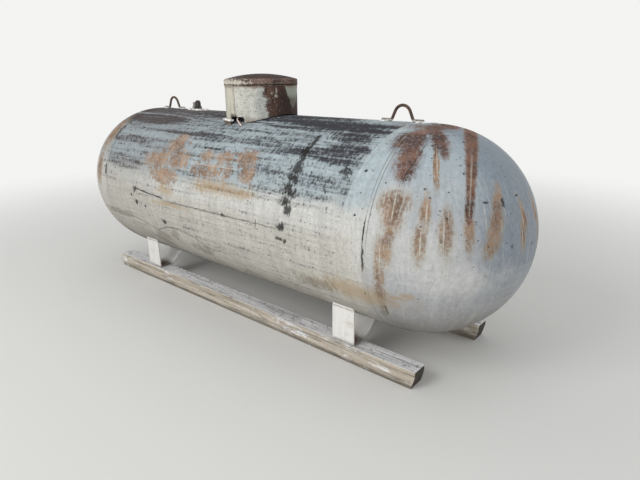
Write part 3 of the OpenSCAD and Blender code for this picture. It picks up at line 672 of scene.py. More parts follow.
def black_marks(graph, place, bent, point, along, up, near, grain):
    tar_grain = graph.total(graph.times(grain.grit, 0.4), graph.times(grain.hatch, 0.6))
    tar = frayed(graph, deepest(graph, place, TAR_DRIP), tar_grain, 6.0, 0.40)
    tar = graph.times(tar, graph.times(near, 0.92))
    lines = dark_lines(graph, along, up, near, grain)
    specks = speck_mask(graph, bent, along, point)
    weld_off = graph.size(graph.minus(graph.size(along), shell_high.x))
    edge = graph.times(graph.ramp(weld_off, 0.0115, 0.0075), graph.ramp(weld_off, 0.0045, 0.0070))
    edge = graph.times(edge, graph.ramp(grain.runs, 0.40, 0.60, 0.15, 0.55))
    return graph.most(tar, lines, specks, edge)

# %% [markdown]
# Now the layers are laid over each other. Rust and mildew are dull, while paint keeps a faint gloss, so
# the same masks set the roughness. Their heights go into one fine bump, and a second bump adds the slow
# dents of rolled plate. The welds use the same material with a ripple across the bead, because they were
# painted together with the plates.

# %% The vessel's material
TAN = paint(0.660, 0.570, 0.440)
TAR = paint(0.160, 0.157, 0.155)
DIRT_BROWN = paint(0.40, 0.345, 0.25)
# Grime and painted shade of the underside
UNDER_GRIME_AND_SHADE = paint(0.40, 0.375, 0.33)


def vessel_colour(graph, tank, point, grain):
    """The colour, and the masks that the roughness and the height need too."""
    place, near = tank["Place"], tank["Near"]
    along, up, _ = graph.split(place)
    bent = bent_place(graph, place, point)
    base = base_coat(graph, along, up, bent, grain)
    mildew = mildew_mask(graph, bent, along, up, grain)
    dark = graph.mix(graph.ramp(along, -0.7, 0.1), MILDEW_BROWN, MILDEW_AND_REFLECTION_DARK)
    colour = graph.mix(graph.times(mildew, 0.92), base, dark)
    tan = graph.most(deepest(graph, bent, TAN_STAINS), deepest(graph, place, FAINT_RUST))
    tan = frayed(graph, tan, grain.streaky, 4.5, 0.7)
    colour = graph.mix(graph.times(tan, 0.70), colour, TAN)
    masks = rust_masks(graph, place, point, up, near, grain)
    colour, rust_height = rusted(graph, colour, masks, up, grain)
    pale = pale_marks(graph, place, along, up, near, masks.run_middle, grain)
    colour = graph.mix(pale, colour, PALE_PAINT)
    low_dirt = frayed(graph, deepest(graph, bent, LOW_MARKS), grain.streaky, 6.5, 0.5)
    colour = graph.mix(graph.times(low_dirt, 0.45), colour, DIRT_BROWN)
    black = black_marks(graph, place, bent, point, along, up, near, grain)
    brownish = graph.times(graph.ramp(along, 0.25, 0.60), graph.ramp(up, -2.0, -10.0))
    colour = graph.mix(black, colour, graph.mix(brownish, TAR, DIRT_BROWN))
    # The underside darkens with grime and painted shade
    under = graph.total(up, graph.swing(grain.clouds, 30.0), graph.ramp(along, 0.95, 1.15, 0.0, -8.0))
    colour = graph.mix(graph.ramp(under, -16.0, -72.0, 0.0, 0.85), colour, UNDER_GRIME_AND_SHADE)
    rusty = graph.most(masks.shell, masks.head, masks.old)
    wear = SimpleNamespace(along=along, mildew=mildew, rusty=rusty, rust_height=rust_height, black=black)
    return colour, wear

# %% Dress the vessel
WELD_WAVE = 420.0                                   # how far the wave turns for each radian round


def weld_ripple(graph, point):
    """A wave that runs round the vessel, for the round welds' beads."""
    _, y, z = graph.split(point)
    turn = graph.math("ARCTAN2", y, graph.minus(z, AXIS_Z))
    return graph.math("SINE", graph.times(turn, WELD_WAVE))


def vessel_paint(name, ripple=False):
    material, graph, shader = new_material(name)
    tank = graph.use("tank_place")
    point = graph.place()
    grain = vessel_grain(graph, tank["Flow"], point)
    colour, wear = vessel_colour(graph, tank, point, grain)
    graph.feed(shader["Base Color"], colour)
    rough = graph.most(graph.ramp(wear.along, 1.0, 1.2, 0.60, 0.46), graph.times(wear.rusty, 0.80))
    graph.feed(shader["Roughness"], graph.most(rough, graph.times(wear.mildew, 0.80)))
    height = graph.grown(grain.hatch, 0.45, graph.times(grain.grit, 0.30))
    height = graph.grown(graph.times(wear.rusty, wear.rust_height), 0.7, height)
    height = graph.grown(wear.black, 0.8, height)
    if ripple:
        height = graph.grown(weld_ripple(graph, point), 0.35, height)
    dents = graph.node("Bump", {"Height": graph.noise(point, 2.2, 1.0), "Distance": 0.012, "Strength": 0.5,
                                "Normal": bump(graph, height, 0.0006)})
    graph.feed(shader["Normal"], dents.outputs[0])
    graph.feed(shader["Specular IOR Level"], graph.ramp(wear.mildew, 0.2, 1.0, 0.25, 0.06))
    return material


def dress(material, *nodes):
    for node in nodes:
        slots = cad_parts[node].data.materials
        slots.clear()
        slots.append(material)
    print(f"{material.name}, {len(material.node_tree.nodes)} shader nodes:", ", ".join(nodes))


dress(vessel_paint("vessel_paint"), "shell", "head_left", "head_right", "long_seam_weld", "couplings")
dress(vessel_paint("weld_paint", ripple=True), "girth_weld_left", "girth_weld_right")

# %% [markdown]
# ## The hood
#
# The hood's wall is cream where its paint holds and dark red-brown where it is gone, with a clear edge
# between. Its stains are placed by the turn round the hood and the height. Both are worked out from the
# hood's own middle, so the pattern stays on the wall when the hood swings open.

# %% Place on the hood
HOOD_PATCHES = [
    (-21, 0.600, 20, 0.055), (-17, 0.535, 21, 0.060), (-10, 0.475, 24, 0.060),
    (-3, 0.540, 10, 0.100), (22, 0.480, 30, 0.060), (44, 0.530, 15, 0.068), (70, 0.630, 40, 0.022),
    (104, 0.480, 24, 0.035), (150, 0.635, 34, 0.018), (178, 0.600, 12, 0.060)]
HOOD_CHIPS = [
    (-20.0, 0.603, 1.3, 0.016), (-20.8, 0.577, 2.4, 0.010), (-28.0, 0.590, 1.5, 0.004)]
HOOD_WEDGE = [
    (13, 0.610, 15, 0.055), (15, 0.570, 8, 0.060)]
LID_PAINT = [
    (-150, 0.642, 38, 0.022), (-112, 0.642, 32, 0.020), (-88, 0.644, 24, 0.014),
    (96, 0.645, 14, 0.011)]


def make_hood_place():
    """Degrees round the hood from +X, and the height above the vessel's axis in the hood's own frame."""
    graph, _, out = new_group("hood_place", [], [("Place", "Vector")])
    x, y, z = graph.split(graph.place())
    turn = graph.math("DEGREES", graph.math("ARCTAN2", y, graph.minus(x, HOOD_X)))
    graph.feed(out["Place"], graph.join(turn, graph.minus(z, AXIS_Z), 0.0))


make_hood_place()
print("stains on the hood:", len(HOOD_PATCHES) + len(HOOD_CHIPS) + len(HOOD_WEDGE) + len(LID_PAINT))

# %% [markdown]
# The wall's paint is crazed all over its front: age has cracked it into a fine net that holds dirt. A
# net could be drawn with a Voronoi texture, but its cells look too even. A noise crosses its middle
# value along crooked closed lines, and those look like real crazing.

# %% Paint of the hood's wall
HOOD_CREAM = paint(0.800, 0.795, 0.760)
HOOD_YELLOWED = paint(0.785, 0.770, 0.705)
# Grey, shaded and darkest low tones of painted shade for the wall's right side
HOOD_SHADE_GREY = paint(0.715, 0.727, 0.707)
HOOD_SHADED = paint(0.610, 0.625, 0.575)
HOOD_DARK_LOW = paint(0.37, 0.35, 0.29)


def hood_cream(graph, turn, height_up, runs):
    """Cream paint, yellower behind the lap, with painted shade towards the rust and streaks down the wall.
    """
    behind_lap = graph.ramp(turn, -87.0, -92.0)
    cream = graph.mix(behind_lap, HOOD_CREAM, HOOD_YELLOWED)
    # Painted shade greys the wall towards the rust
    cream = graph.mix(graph.ramp(turn, -62.0, -42.0), cream, HOOD_SHADE_GREY)
    # Painted shade on the right side, darker towards the bottom
    shadowed = graph.mix(graph.ramp(height_up, 0.590, 0.545), HOOD_SHADED, HOOD_DARK_LOW)
    cream = graph.mix(graph.ramp(turn, -14.0, -4.0), cream, shadowed)
    streak_depth = graph.ramp(behind_lap, 0.0, 1.0, 0.08, 0.24)
    streaks = graph.minus(1.0, graph.times(graph.ramp(runs, 0.56, 0.40), streak_depth))
    return graph.scaled(cream, streaks)


def crazed_marks(graph, turn, point, grit):
    """Cracks in the paint, with freckles and blots among them."""
    crazing = graph.size(graph.minus(graph.noise(point, 34.0, 5.0, 0.75, 0.6), 0.5))
    crazing = graph.times(graph.ramp(crazing, 0.040, 0.012), graph.ramp(grit, 0.46, 0.56))
    freckles = graph.use("specks", Scale=85.0, Share=0.50, Size=0.22)["Mask"]
    blots = graph.use("specks", Scale=30.0, Share=0.30, Size=0.12)["Mask"]
    marks = graph.most(graph.times(crazing, 0.75), graph.most(freckles, blots))
    crowd = graph.times(graph.ramp(turn, -102.0, -84.0, 0.25, 1.0),
                        graph.ramp(turn, -34.0, -52.0, 0.35, 1.0))
    mottle = graph.times(graph.ramp(graph.noise(point, 14.0, 6.0, 0.75), 0.44, 0.64), 0.42)
    return graph.times(graph.most(marks, mottle), graph.times(crowd, 0.80))

# %% Bare rust of the hood's wall
WALL_RUST = {"Dark": paint(0.225, 0.140, 0.118), "Bright": paint(0.430, 0.315, 0.265), "Balance": 0.42}
DEEP_RUST = paint(0.150, 0.085, 0.075)
PAINT_FLAKE = paint(0.66, 0.64, 0.59)


def bare_wall(graph, place, turn, height_up, ragged, grit):
    """Where the paint is gone, the colour there with flakes of paint left on it, and its height."""
    wedge = deepest(graph, place, HOOD_WEDGE)
    field = graph.math("MINIMUM", deepest(graph, place, HOOD_PATCHES), graph.times(wedge, -1.2))
    mixed = graph.total(graph.times(ragged, 0.4), graph.times(grit, 0.6))
    bare = frayed(graph, field, mixed, 2.2, 0.10)
    rust = graph.use("rust", **WALL_RUST)
    deep = graph.times(graph.ramp(turn, -26.0, -6.0), graph.ramp(turn, 16.0, 5.0, 0.25, 1.0))
    deep = graph.times(deep, graph.ramp(height_up, 0.63, 0.57))
    worn = graph.mix(graph.times(deep, 0.82), rust["Color"], DEEP_RUST)
    flakes = graph.times(graph.ramp(grit, 0.585, 0.63), graph.ramp(turn, -8.0, -26.0, 0.15, 0.60))
    chips = frayed(graph, deepest(graph, place, HOOD_CHIPS), grit, 2.0, 0.4)
    flakes = graph.most(flakes, graph.times(chips, 0.85))
    return bare, graph.mix(flakes, worn, PAINT_FLAKE), rust["Height"]

# %% The hood's wall
CRACK_DIRT = paint(0.300, 0.285, 0.250)
SEAM_DIRT = paint(0.42, 0.39, 0.32)
# Rust colour, also painted shade under the lid, at the wall's foot and at the legs' tops
RUST_STAIN_AND_SHADE = paint(0.47, 0.38, 0.30)
NOTCH_STAIN = paint(0.235, 0.165, 0.085)


def hood_paint():
    material, graph, shader = new_material("hood_paint")
    place = graph.use("hood_place")["Place"]
    turn, height_up, _ = graph.split(place)
    point = graph.place()
    ragged = graph.noise(point, 26.0, 6.0, 0.70)
    grit = graph.noise(point, 120.0, 4.0, 0.70)
    runs = graph.noise(graph.vector("MULTIPLY", point, (42.0, 42.0, 3.0)), 1.0, 3.0, 0.6)
    cream = hood_cream(graph, turn, height_up, runs)
    marks = crazed_marks(graph, turn, point, grit)
    colour = graph.mix(marks, cream, CRACK_DIRT)
    seam = graph.ramp(graph.size(graph.total(turn, 90.0)), 1.9, 0.5, 0.0, 0.45)
    colour = graph.mix(graph.times(seam, graph.ramp(grit, 0.35, 0.5)), colour, SEAM_DIRT)

    # Rust stains lie under the lid, at the bottom edge and over the notch. Under the lid and at the bottom
    # edge they are painted shade too
    wavy = graph.total(height_up, graph.swing(ragged, 0.05))
    under_lid = graph.ramp(wavy, 0.612, 0.628, 0.0, 0.75)
    hem = graph.ramp(wavy, 0.474, 0.448, 0.0, 0.60)
    notch = frayed(graph, oval(graph, place, -94, 0.471, 9, 0.013), grit, 3.0, 0.5)
    colour = graph.mix(graph.most(under_lid, hem), colour, RUST_STAIN_AND_SHADE)
    colour = graph.mix(graph.times(notch, 0.90), colour, NOTCH_STAIN)

    bare, worn, rust_height = bare_wall(graph, place, turn, height_up, ragged, grit)
    graph.feed(shader["Base Color"], graph.mix(bare, colour, worn))
    graph.feed(shader["Roughness"], graph.ramp(bare, 0.0, 1.0, 0.55, 0.85))
    height = graph.grown(marks, -0.5, graph.times(grit, 0.25))
    height = graph.grown(graph.times(bare, rust_height), 0.6, height)
    height = graph.grown(bare, -0.7, height)
    graph.feed(shader["Normal"], bump(graph, height, 0.0007))
    return material


dress(hood_paint(), "hood_wall")

# %% [markdown]
# The lid is one pressed dish. Rust has taken its crown all over, while paint still holds on parts of the
# skirt. A dark line of painted shade marks the crease where the skirt turns into the rolled rim, and it
# is found by height.

# %% The lid
LID_RUST = {"Dark": paint(0.250, 0.180, 0.165), "Bright": paint(0.460, 0.370, 0.335), "Balance": 0.46}
CROWN_DARK = paint(0.195, 0.150, 0.146)
CROWN_GREY = paint(0.270, 0.216, 0.210)
SKIRT_PAINT = paint(0.775, 0.750, 0.700)
# Painted shade for the crease above the rolled rim
RIM_CREASE_SHADE = paint(0.115, 0.080, 0.070)
RIM_HEIGHT = 0.6335


def lid_rust():
    material, graph, shader = new_material("lid_rust")
    place = graph.use("hood_place")["Place"]
    turn, height_up, _ = graph.split(place)
    point = graph.place()
    ragged = graph.noise(point, 26.0, 6.0, 0.72)
    grit = graph.noise(point, 90.0, 4.0, 0.70)
    rust = graph.use("rust", **LID_RUST)
    grey = graph.mix(graph.ramp(ragged, 0.35, 0.65), CROWN_DARK, CROWN_GREY)
    crown = graph.ramp(height_up, 0.660, 0.668)
    colour = graph.mix(graph.times(crown, 0.85), rust["Color"], grey)

    # Paint is left on the skirt: a whole part at the left and flakes elsewhere
    skirt = graph.minus(1.0, crown)
    left = frayed(graph, deepest(graph, place, LID_PAINT), grit, 5.0, 0.5)
    flakes = graph.times(graph.ramp(grit, 0.49, 0.57), graph.times(skirt, 0.70))
    flakes = graph.times(flakes, graph.ramp(turn, -30.0, -75.0, 0.35, 1.0))
    left = graph.most(left, flakes)
    left = graph.times(left, graph.ramp(graph.noise(point, 60.0, 3.0, 0.6), 0.36, 0.46, 0.65, 1.0))
    colour = graph.mix(left, colour, SKIRT_PAINT)
    # Painted shade in the crease above the rolled rim
    line = graph.ramp(graph.size(graph.minus(height_up, RIM_HEIGHT)), 0.0042, 0.0018)
    line = graph.times(line, graph.ramp(ragged, 0.36, 0.50, 0.25, 0.90))
    graph.feed(shader["Base Color"], graph.mix(line, colour, RIM_CREASE_SHADE))
    graph.feed(shader["Roughness"], graph.ramp(left, 0.0, 1.0, 0.86, 0.6))
    shader["Specular IOR Level"].default_value = 0.25
    height = graph.grown(left, 0.6, rust["Height"])
    height = graph.grown(line, -1.5, height)
    graph.feed(shader["Normal"], bump(graph, height, 0.0008))
    return material


dress(lid_rust(), "hood_lid")

# %% [markdown]
# ## Rusty steel, dark steel and white legs
#
# The lugs, the hinge and the rest are bare steel that has gone brown, with a little white paint caught
# near the welds. Paint goes first from edges. A group finds them by comparing the real normal with one
# that the Bevel node has rounded: where the two disagree, there is an edge.

# %% Worn edges
def make_worn_edge():
    graph, given, out = new_group("worn_edge", [("Width", "Float", 0.003), ("Grain", "Float", 0.5)],
                                  [("Mask", "Float")])
    soft = graph.node("Bevel", {"Radius": given["Width"]}, samples=4).outputs[0]
    sharp = graph.node("NewGeometry").outputs["Normal"]
    agree = graph.node("VectorMath", {0: soft, 1: sharp}, operation="DOT_PRODUCT").outputs["Value"]
    wear = graph.total(graph.minus(1.0, agree), graph.swing(given["Grain"], 0.12))
    graph.feed(out["Mask"], graph.ramp(wear, 0.03, 0.12))


make_worn_edge()

# %% Bare steel
CAUGHT_PAINT = paint(0.74, 0.74, 0.71)
LUG_RUST = {"Dark": paint(0.235, 0.180, 0.155), "Bright": paint(0.450, 0.360, 0.290), "Balance": 0.48}
FOOT_WHITE = paint(0.72, 0.72, 0.69)


def bare_steel(name, dark, bright, paint_left=0.0, rough=0.8):
    material, graph, shader = new_material(name)
    point = graph.place()
    rust = graph.use("rust", Dark=dark, Bright=bright, Balance=0.5)
    ragged = graph.noise(point, 60.0, 5.0, 0.7)
    kept = graph.times(graph.ramp(ragged, 0.56, 0.60), paint_left)
    graph.feed(shader["Base Color"], graph.mix(kept, rust["Color"], CAUGHT_PAINT))
    graph.feed(shader["Roughness"], graph.ramp(kept, 0.0, 1.0, rough, 0.55))
    graph.feed(shader["Normal"], bump(graph, rust["Height"], 0.0005))
    return material


def lug_steel():
    """Rusty round bar, white where its feet lie on the painted ridge."""
    material, graph, shader = new_material("lug_steel")
    point = graph.place()
    z = graph.split(point)[2]
    rust = graph.use("rust", **LUG_RUST)
    ragged = graph.noise(point, 70.0, 5.0, 0.7)
    low = graph.grown(graph.minus(ragged, 0.5), 0.022, z)
    foot = graph.ramp(low, RIDGE_Z + 0.016, RIDGE_Z + 0.004)
    graph.feed(shader["Base Color"], graph.mix(foot, rust["Color"], FOOT_WHITE))
    graph.feed(shader["Roughness"], graph.ramp(foot, 0.0, 1.0, 0.82, 0.6))
    graph.feed(shader["Normal"], bump(graph, rust["Height"], 0.0005))
    return material

# %% [markdown]
# The legs were painted white, and a lighter white on their inner plates is painted light where the
# vessel shades them. Their feet are darker towards the timber, rust and painted shade darken their tops
# under the vessel, and the edges are worn. The same paint without the dark feet and tops covers the
# ridge pad and the hood's lip, which the weather has greyed instead.

# %% White legs
LEG_WHITE = paint(0.905, 0.897, 0.880)
# A lighter white for the inner plates, painted light where the vessel shades them
LIT_INNER_WHITE = paint(0.985, 0.980, 0.970)
LEG_RUST = {"Dark": paint(0.33, 0.23, 0.18), "Bright": paint(0.60, 0.43, 0.31), "Balance": 0.5}
# Darker towards the foot
FOOT_DARK = paint(0.36, 0.31, 0.25)
WEATHERED_GREY = paint(0.46, 0.45, 0.44)
SMEAR_DIRT = paint(0.52, 0.47, 0.41)
INNER_PLATE_Y = 0.262                               # the inner plates lie nearer the middle than this


def leg_paint(name, on_legs=True):
    material, graph, shader = new_material(name)
    point = graph.place()
    x, y, z = graph.split(point)
    ragged = graph.noise(point, 34.0, 6.0, 0.72)
    grit = graph.noise(point, 130.0, 4.0, 0.65)
    runs = graph.noise(graph.vector("MULTIPLY", point, (70.0, 70.0, 5.0)), 1.0, 3.0, 0.6)
    white = graph.scaled(LEG_WHITE, graph.ramp(runs, 0.3, 0.7, 0.93, 1.02))
    white = graph.scaled(white, graph.ramp(x, 0.4, -0.6, 1.0, 0.935))
    # The inner plates get the painted light
    inner = graph.ramp(graph.size(y), INNER_PLATE_Y, INNER_PLATE_Y - 0.017)
    colour = graph.mix(inner, white, LIT_INNER_WHITE)
    rust = graph.use("rust", **LEG_RUST)
    worn = graph.use("worn_edge", Width=0.004, Grain=ragged)["Mask"]
    worn = graph.times(worn, graph.ramp(ragged, 0.44, 0.56))
    freckles = graph.use("specks", Scale=80.0, Share=0.32, Size=0.15)["Mask"]

    # The feet darken towards the timber, and rust with painted shade darkens the tops under the vessel
    if on_legs:
        low = graph.grown(graph.minus(ragged, 0.5), 0.030, z)
        darker_foot = graph.ramp(low, SKID_TOP + 0.026, SKID_TOP + 0.004, 0.0, 0.65)
        colour = graph.mix(darker_foot, colour, FOOT_DARK)
        # Rust and painted shade at the top, where the leg meets the vessel
        colour = graph.mix(graph.ramp(low, 0.262, 0.284, 0.0, 0.65), colour, RUST_STAIN_AND_SHADE)
    else:
        colour = graph.mix(graph.ramp(ragged, 0.45, 0.60, 0.0, 0.75), colour, WEATHERED_GREY)
    spoilt = graph.most(graph.times(worn, 0.8), graph.times(freckles, 0.75))
    smear = graph.times(graph.ramp(graph.noise(point, 13.0, 6.0, 0.75), 0.52, 0.68), 0.28)
    colour = graph.mix(smear, colour, SMEAR_DIRT)
    graph.feed(shader["Base Color"], graph.mix(spoilt, colour, rust["Color"]))
    graph.feed(shader["Roughness"], graph.ramp(spoilt, 0.0, 1.0, 0.55, 0.85))
    height = graph.grown(spoilt, -0.6, graph.times(grit, 0.25))
    graph.feed(shader["Normal"], bump(graph, height, 0.0005))
    return material

# %% Dress the steel
LEGS = ("leg_near_left", "leg_near_right", "leg_far_left", "leg_far_right")
dress(leg_paint("leg_paint"), *LEGS)
dress(leg_paint("weathered_white", on_legs=False), "ridge_pad", "hood_lip")
dress(lug_steel(), "lug_left", "lug_right")
dress(bare_steel("rusty_steel", paint(0.24, 0.18, 0.155), paint(0.46, 0.36, 0.29), 0.5),
      "hinge_ears", "hinge_leaf", "hood_rest")
dress(bare_steel("dark_steel", paint(0.135, 0.125, 0.12), paint(0.275, 0.255, 0.245), 0.0, 0.6),
      "ridge_valve", "ridge_cap", "hinge_pin", "fill_cap", "vapour_cap", "level_gauge")
dress(bare_steel("vent_paint", paint(0.46, 0.45, 0.43), paint(0.66, 0.66, 0.64), 0.9, 0.6), "ridge_vent")

# %% [markdown]
# ## Timber
#
# Each skid is one sawn timber. Old wood splits along its grain, greys on top where rain washes it, and
# keeps a warmer tan on its sides. The top is paler and bluer still as painted sky light, the ends are
# darkened as painted shade, and the wood is darker towards the bottom. The grain is a noise squeezed
# hard across the timber, the splits are the thin places of another, and the ends show rings round the
# pith instead.

# %% Grain of wood
def make_grain():
    graph, given, out = new_group("grain", [("Place", "Vector", (0, 0, 0))],
                                  [("Lines", "Float"), ("Splits", "Float"), ("Rings", "Float")])
    bent = graph.noise(graph.vector("MULTIPLY", given["Place"], (0.8, 6.0, 6.0)), 1.0, 2.0)
    _, y, z = graph.split(given["Place"])
    along = graph.vector("ADD", graph.vector("MULTIPLY", given["Place"], (2.2, 95.0, 95.0)),
                         graph.join(0.0, graph.times(bent, 5.0), graph.times(bent, 5.0)))
    lines = graph.noise(along, 1.0, 4.0, 0.65)
    split_place = graph.vector("MULTIPLY", given["Place"], (1.7, 42.0, 42.0))
    splits = graph.size(graph.minus(graph.noise(split_place, 1.0, 2.0, 0.45, 0.25), 0.5))
    pith = graph.join(0.0, graph.total(y, 0.02), graph.total(z, 0.05))
    radius = graph.node("VectorMath", {0: pith}, operation="LENGTH").outputs["Value"]
    rings = graph.math("SINE", graph.grown(radius, 900.0, graph.times(bent, 9.0)))
    graph.feed(out["Lines"], lines)
    graph.feed(out["Splits"], graph.ramp(splits, 0.016, 0.004))
    graph.feed(out["Rings"], graph.ramp(rings, -1.0, 1.0))


make_grain()

# %% The timbers
SIDE_DARK = paint(0.660, 0.620, 0.560)
SIDE_PALE = paint(0.785, 0.750, 0.695)
# The top's pale, bluish colours are weathering and painted sky light
WASHED_SKYLIT_DARK = paint(0.830, 0.835, 0.852)
WASHED_SKYLIT_PALE = paint(0.965, 0.965, 0.972)
ARRIS_PALE = paint(0.900, 0.885, 0.855)
# End grain, darkened as painted shade
END_SHADE_DARK = paint(0.170, 0.148, 0.125)
END_SHADE_PALE = paint(0.280, 0.250, 0.215)
# Darker towards the bottom of the timber
LOW_WOOD_DARK = paint(0.20, 0.17, 0.13)
WOOD_STAIN = paint(0.42, 0.36, 0.29)
CHIP_DARK = paint(0.33, 0.32, 0.30)
SPLIT_DARK = paint(0.27, 0.24, 0.20)


def timber():
    material, graph, shader = new_material("timber")
    point = graph.place()
    x, y, z = graph.split(point)
    across = graph.minus(graph.size(y), (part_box("skid_far")[0].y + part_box("skid_far")[1].y) / 2)
    grain = graph.use("grain", Place=graph.join(x, across, z))
    facing = graph.split(graph.node("NewGeometry").outputs["Normal"])
    ragged = graph.noise(graph.vector("MULTIPLY", point, (7.0, 30.0, 30.0)), 1.0, 6.0, 0.7)
    clouds = graph.noise(point, 3.0, 4.0, 0.6)
    side = graph.mix(graph.ramp(grain["Lines"], 0.35, 0.65), SIDE_DARK, SIDE_PALE)
    skylit_wash = graph.mix(graph.ramp(grain["Lines"], 0.35, 0.62), WASHED_SKYLIT_DARK, WASHED_SKYLIT_PALE)
    # Faces that look up take the washed colour, with its painted sky light
    top = graph.ramp(facing[2], 0.35, 0.75)
    washed = graph.most(top, graph.ramp(graph.total(ragged, graph.times(clouds, 0.6)), 0.86, 0.98))
    colour = graph.mix(graph.times(washed, 0.9), side, skylit_wash)
    arris = graph.use("worn_edge", Width=0.008, Grain=ragged)["Mask"]
    colour = graph.mix(graph.times(arris, 0.6), colour, ARRIS_PALE)
    # The ends take dark end grain, with painted shade
    end = graph.ramp(graph.size(facing[0]), 0.55, 0.75)
    colour = graph.mix(end, colour, graph.mix(grain["Rings"], END_SHADE_DARK, END_SHADE_PALE))
    # Darker towards the bottom
    low_dark = graph.ramp(graph.grown(graph.minus(ragged, 0.5), 0.035, z), 0.034, 0.004)
    colour = graph.mix(graph.times(low_dark, 0.65), colour, LOW_WOOD_DARK)
    stain = graph.times(graph.ramp(clouds, 0.58, 0.74), 0.30)
    colour = graph.mix(stain, colour, WOOD_STAIN)
    chips = graph.ramp(graph.noise(point, 62.0, 4.0, 0.7), 0.58, 0.64)
    chips = graph.times(chips, graph.ramp(top, 0.0, 1.0, 0.35, 0.75))
    colour = graph.mix(chips, colour, CHIP_DARK)
    splits = graph.times(grain["Splits"], graph.minus(1.0, end))
    graph.feed(shader["Base Color"], graph.mix(graph.times(splits, 0.45), colour, SPLIT_DARK))
    shader["Roughness"].default_value = 0.85
    height = graph.grown(splits, -2.2, graph.times(grain["Lines"], 1.4))
    height = graph.grown(graph.times(end, grain["Rings"]), 0.5, height)
    graph.feed(shader["Normal"], bump(graph, height, 0.0014))
    return material


dress(timber(), "skid_near", "skid_far")

# %% [markdown]
# ## Brass, copper and the small coloured parts
#
# The valves under the hood are forged brass that has dulled in spots, and the cut service line is copper.
# Caps and the hand wheel are painted or moulded. A metal's colour is its reflection, so only
# roughness and a dull film make it look used.

# %% Small finishes
def metal(name, fresh, dull, rough, film=0.5):
    material, graph, shader = new_material(name)
    point = graph.place()
    patches = graph.noise(point, 55.0, 5.0, 0.7)
    film_mask = graph.times(graph.ramp(patches, 0.42, 0.62), film)
    graph.feed(shader["Base Color"], graph.mix(film_mask, fresh, dull))
    graph.feed(shader["Metallic"], graph.ramp(film_mask, 0.0, 1.0, 1.0, 0.25))
    graph.feed(shader["Roughness"], graph.ramp(patches, 0.3, 0.7, rough, rough + 0.25))
    graph.feed(shader["Normal"], bump(graph, patches, 0.0002))
    return material


def moulded(name, colour, worn, rough):
    material, graph, shader = new_material(name)
    point = graph.place()
    scuffs = graph.noise(point, 80.0, 5.0, 0.7)
    faded = graph.ramp(graph.noise(point, 18.0, 3.0, 0.6), 0.35, 0.7, 0.0, 0.6)
    graph.feed(shader["Base Color"], graph.mix(faded, colour, worn))
    graph.feed(shader["Roughness"], graph.ramp(scuffs, 0.3, 0.7, rough, rough + 0.2))
    graph.feed(shader["Normal"], bump(graph, scuffs, 0.0002))
    return material


dress(metal("valve_brass", paint(0.80, 0.66, 0.38), paint(0.42, 0.36, 0.25), 0.35),
      "fill_valve", "relief_valve", "vapour_valve", "service_valve")
# The copper's pale pinkish white is partly painted highlight, paler than the bare metal
dress(metal("line_copper", paint(0.94, 0.86, 0.83), paint(0.82, 0.72, 0.69), 0.4, 0.8), "service_line")
dress(moulded("cap_plastic", paint(0.62, 0.16, 0.13), paint(0.70, 0.38, 0.33), 0.45), "relief_cap")
dress(moulded("wheel_paint", paint(0.55, 0.13, 0.11), paint(0.42, 0.24, 0.20), 0.45), "service_wheel")
dress(moulded("dial_face", paint(0.86, 0.86, 0.82), paint(0.76, 0.75, 0.69), 0.3), "gauge_dial")

# %% [markdown]
# ## Small parts made here
#
# Welds, screws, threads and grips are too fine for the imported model, but they catch the eye. Each helper
# below starts from one of bmesh's ready shapes. A weld bead is a round section that is repeated along a
# path and bridged ring by ring. Every second ring is a little fatter, which gives the ripples that a
# welder's hand leaves.

# %% Finishing a piece
SHARP_ANGLE = math.radians(40)


def finish_piece(name, shape, body, slot, material=None):
    """Makes a bmesh a smooth piece on its body. Its material has the slot's name unless one is given."""
    bmesh.ops.recalc_face_normals(shape, faces=shape.faces)
    mesh = bpy.data.meshes.new(name)
    for face in shape.faces:
        face.smooth = True
    shape.to_mesh(mesh)
    shape.free()
    mesh.set_sharp_from_angle(angle=SHARP_ANGLE)
    mesh.materials.append(bpy.data.materials[material or slot])
    piece = bpy.data.objects.new(name, mesh)
    bpy.context.collection.objects.link(piece)
    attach(piece, body)
    print(f"{name}: {len(mesh.polygons)} faces")

# %% Bead along a path
def ring_edges(verts):
    return {edge for vert in verts for edge in vert.link_edges}


def bead(shape, centres, radius, sides=8, ripple=0.0, closed=False):
    """A round section swept along the centres, which are close together and evenly spaced."""
    rings = []
    count = len(centres)
    for i, centre in enumerate(centres):
        after = centres[(i + 1) % count] if closed or i < count - 1 else centre
        before = centres[i - 1] if closed or i > 0 else centre
        turn = (after - before).to_track_quat("Z", "Y").to_matrix().to_4x4()
        size = radius * (1 + ripple * (1 if i % 2 else -1))
        ends = not closed and i in (0, count - 1)
        made = bmesh.ops.create_circle(shape, cap_ends=ends, segments=sides,
                                       radius=size * (0.6 if ends else 1),
                                       matrix=Matrix.Translation(centre) @ turn)
        rings.append(ring_edges(made["verts"]))
    pairs = list(zip(rings, rings[1:])) + ([(rings[-1], rings[0])] if closed else [])
    for one, other in pairs:
        bmesh.ops.bridge_loops(shape, edges=list(one | other))

# %% Paths and heights
def spaced(start, end, step):
    count = max(2, round((end - start).length / step))
    return [start.lerp(end, i / count) for i in range(count + 1)]


def circle_path(centre, radius, step, height):
    """Points round a circle, each at the height that the given rule finds for its y."""
    count = max(12, 2 * round(math.pi * radius / step))
    points = []
    for i in range(count):
        turn = 2 * math.pi * i / count
        x, y = centre.x + radius * math.cos(turn), centre.y + radius * math.sin(turn)
        points.append(Vector((x, y, height(y))))
    return points


def on_shell(y):
    """The height of the vessel's upper surface, which depends only on the distance from its middle."""
    return AXIS_Z + math.sqrt(TANK_R ** 2 - y * y)


def under_shell(y):
    return AXIS_Z - math.sqrt(TANK_R ** 2 - y * y)


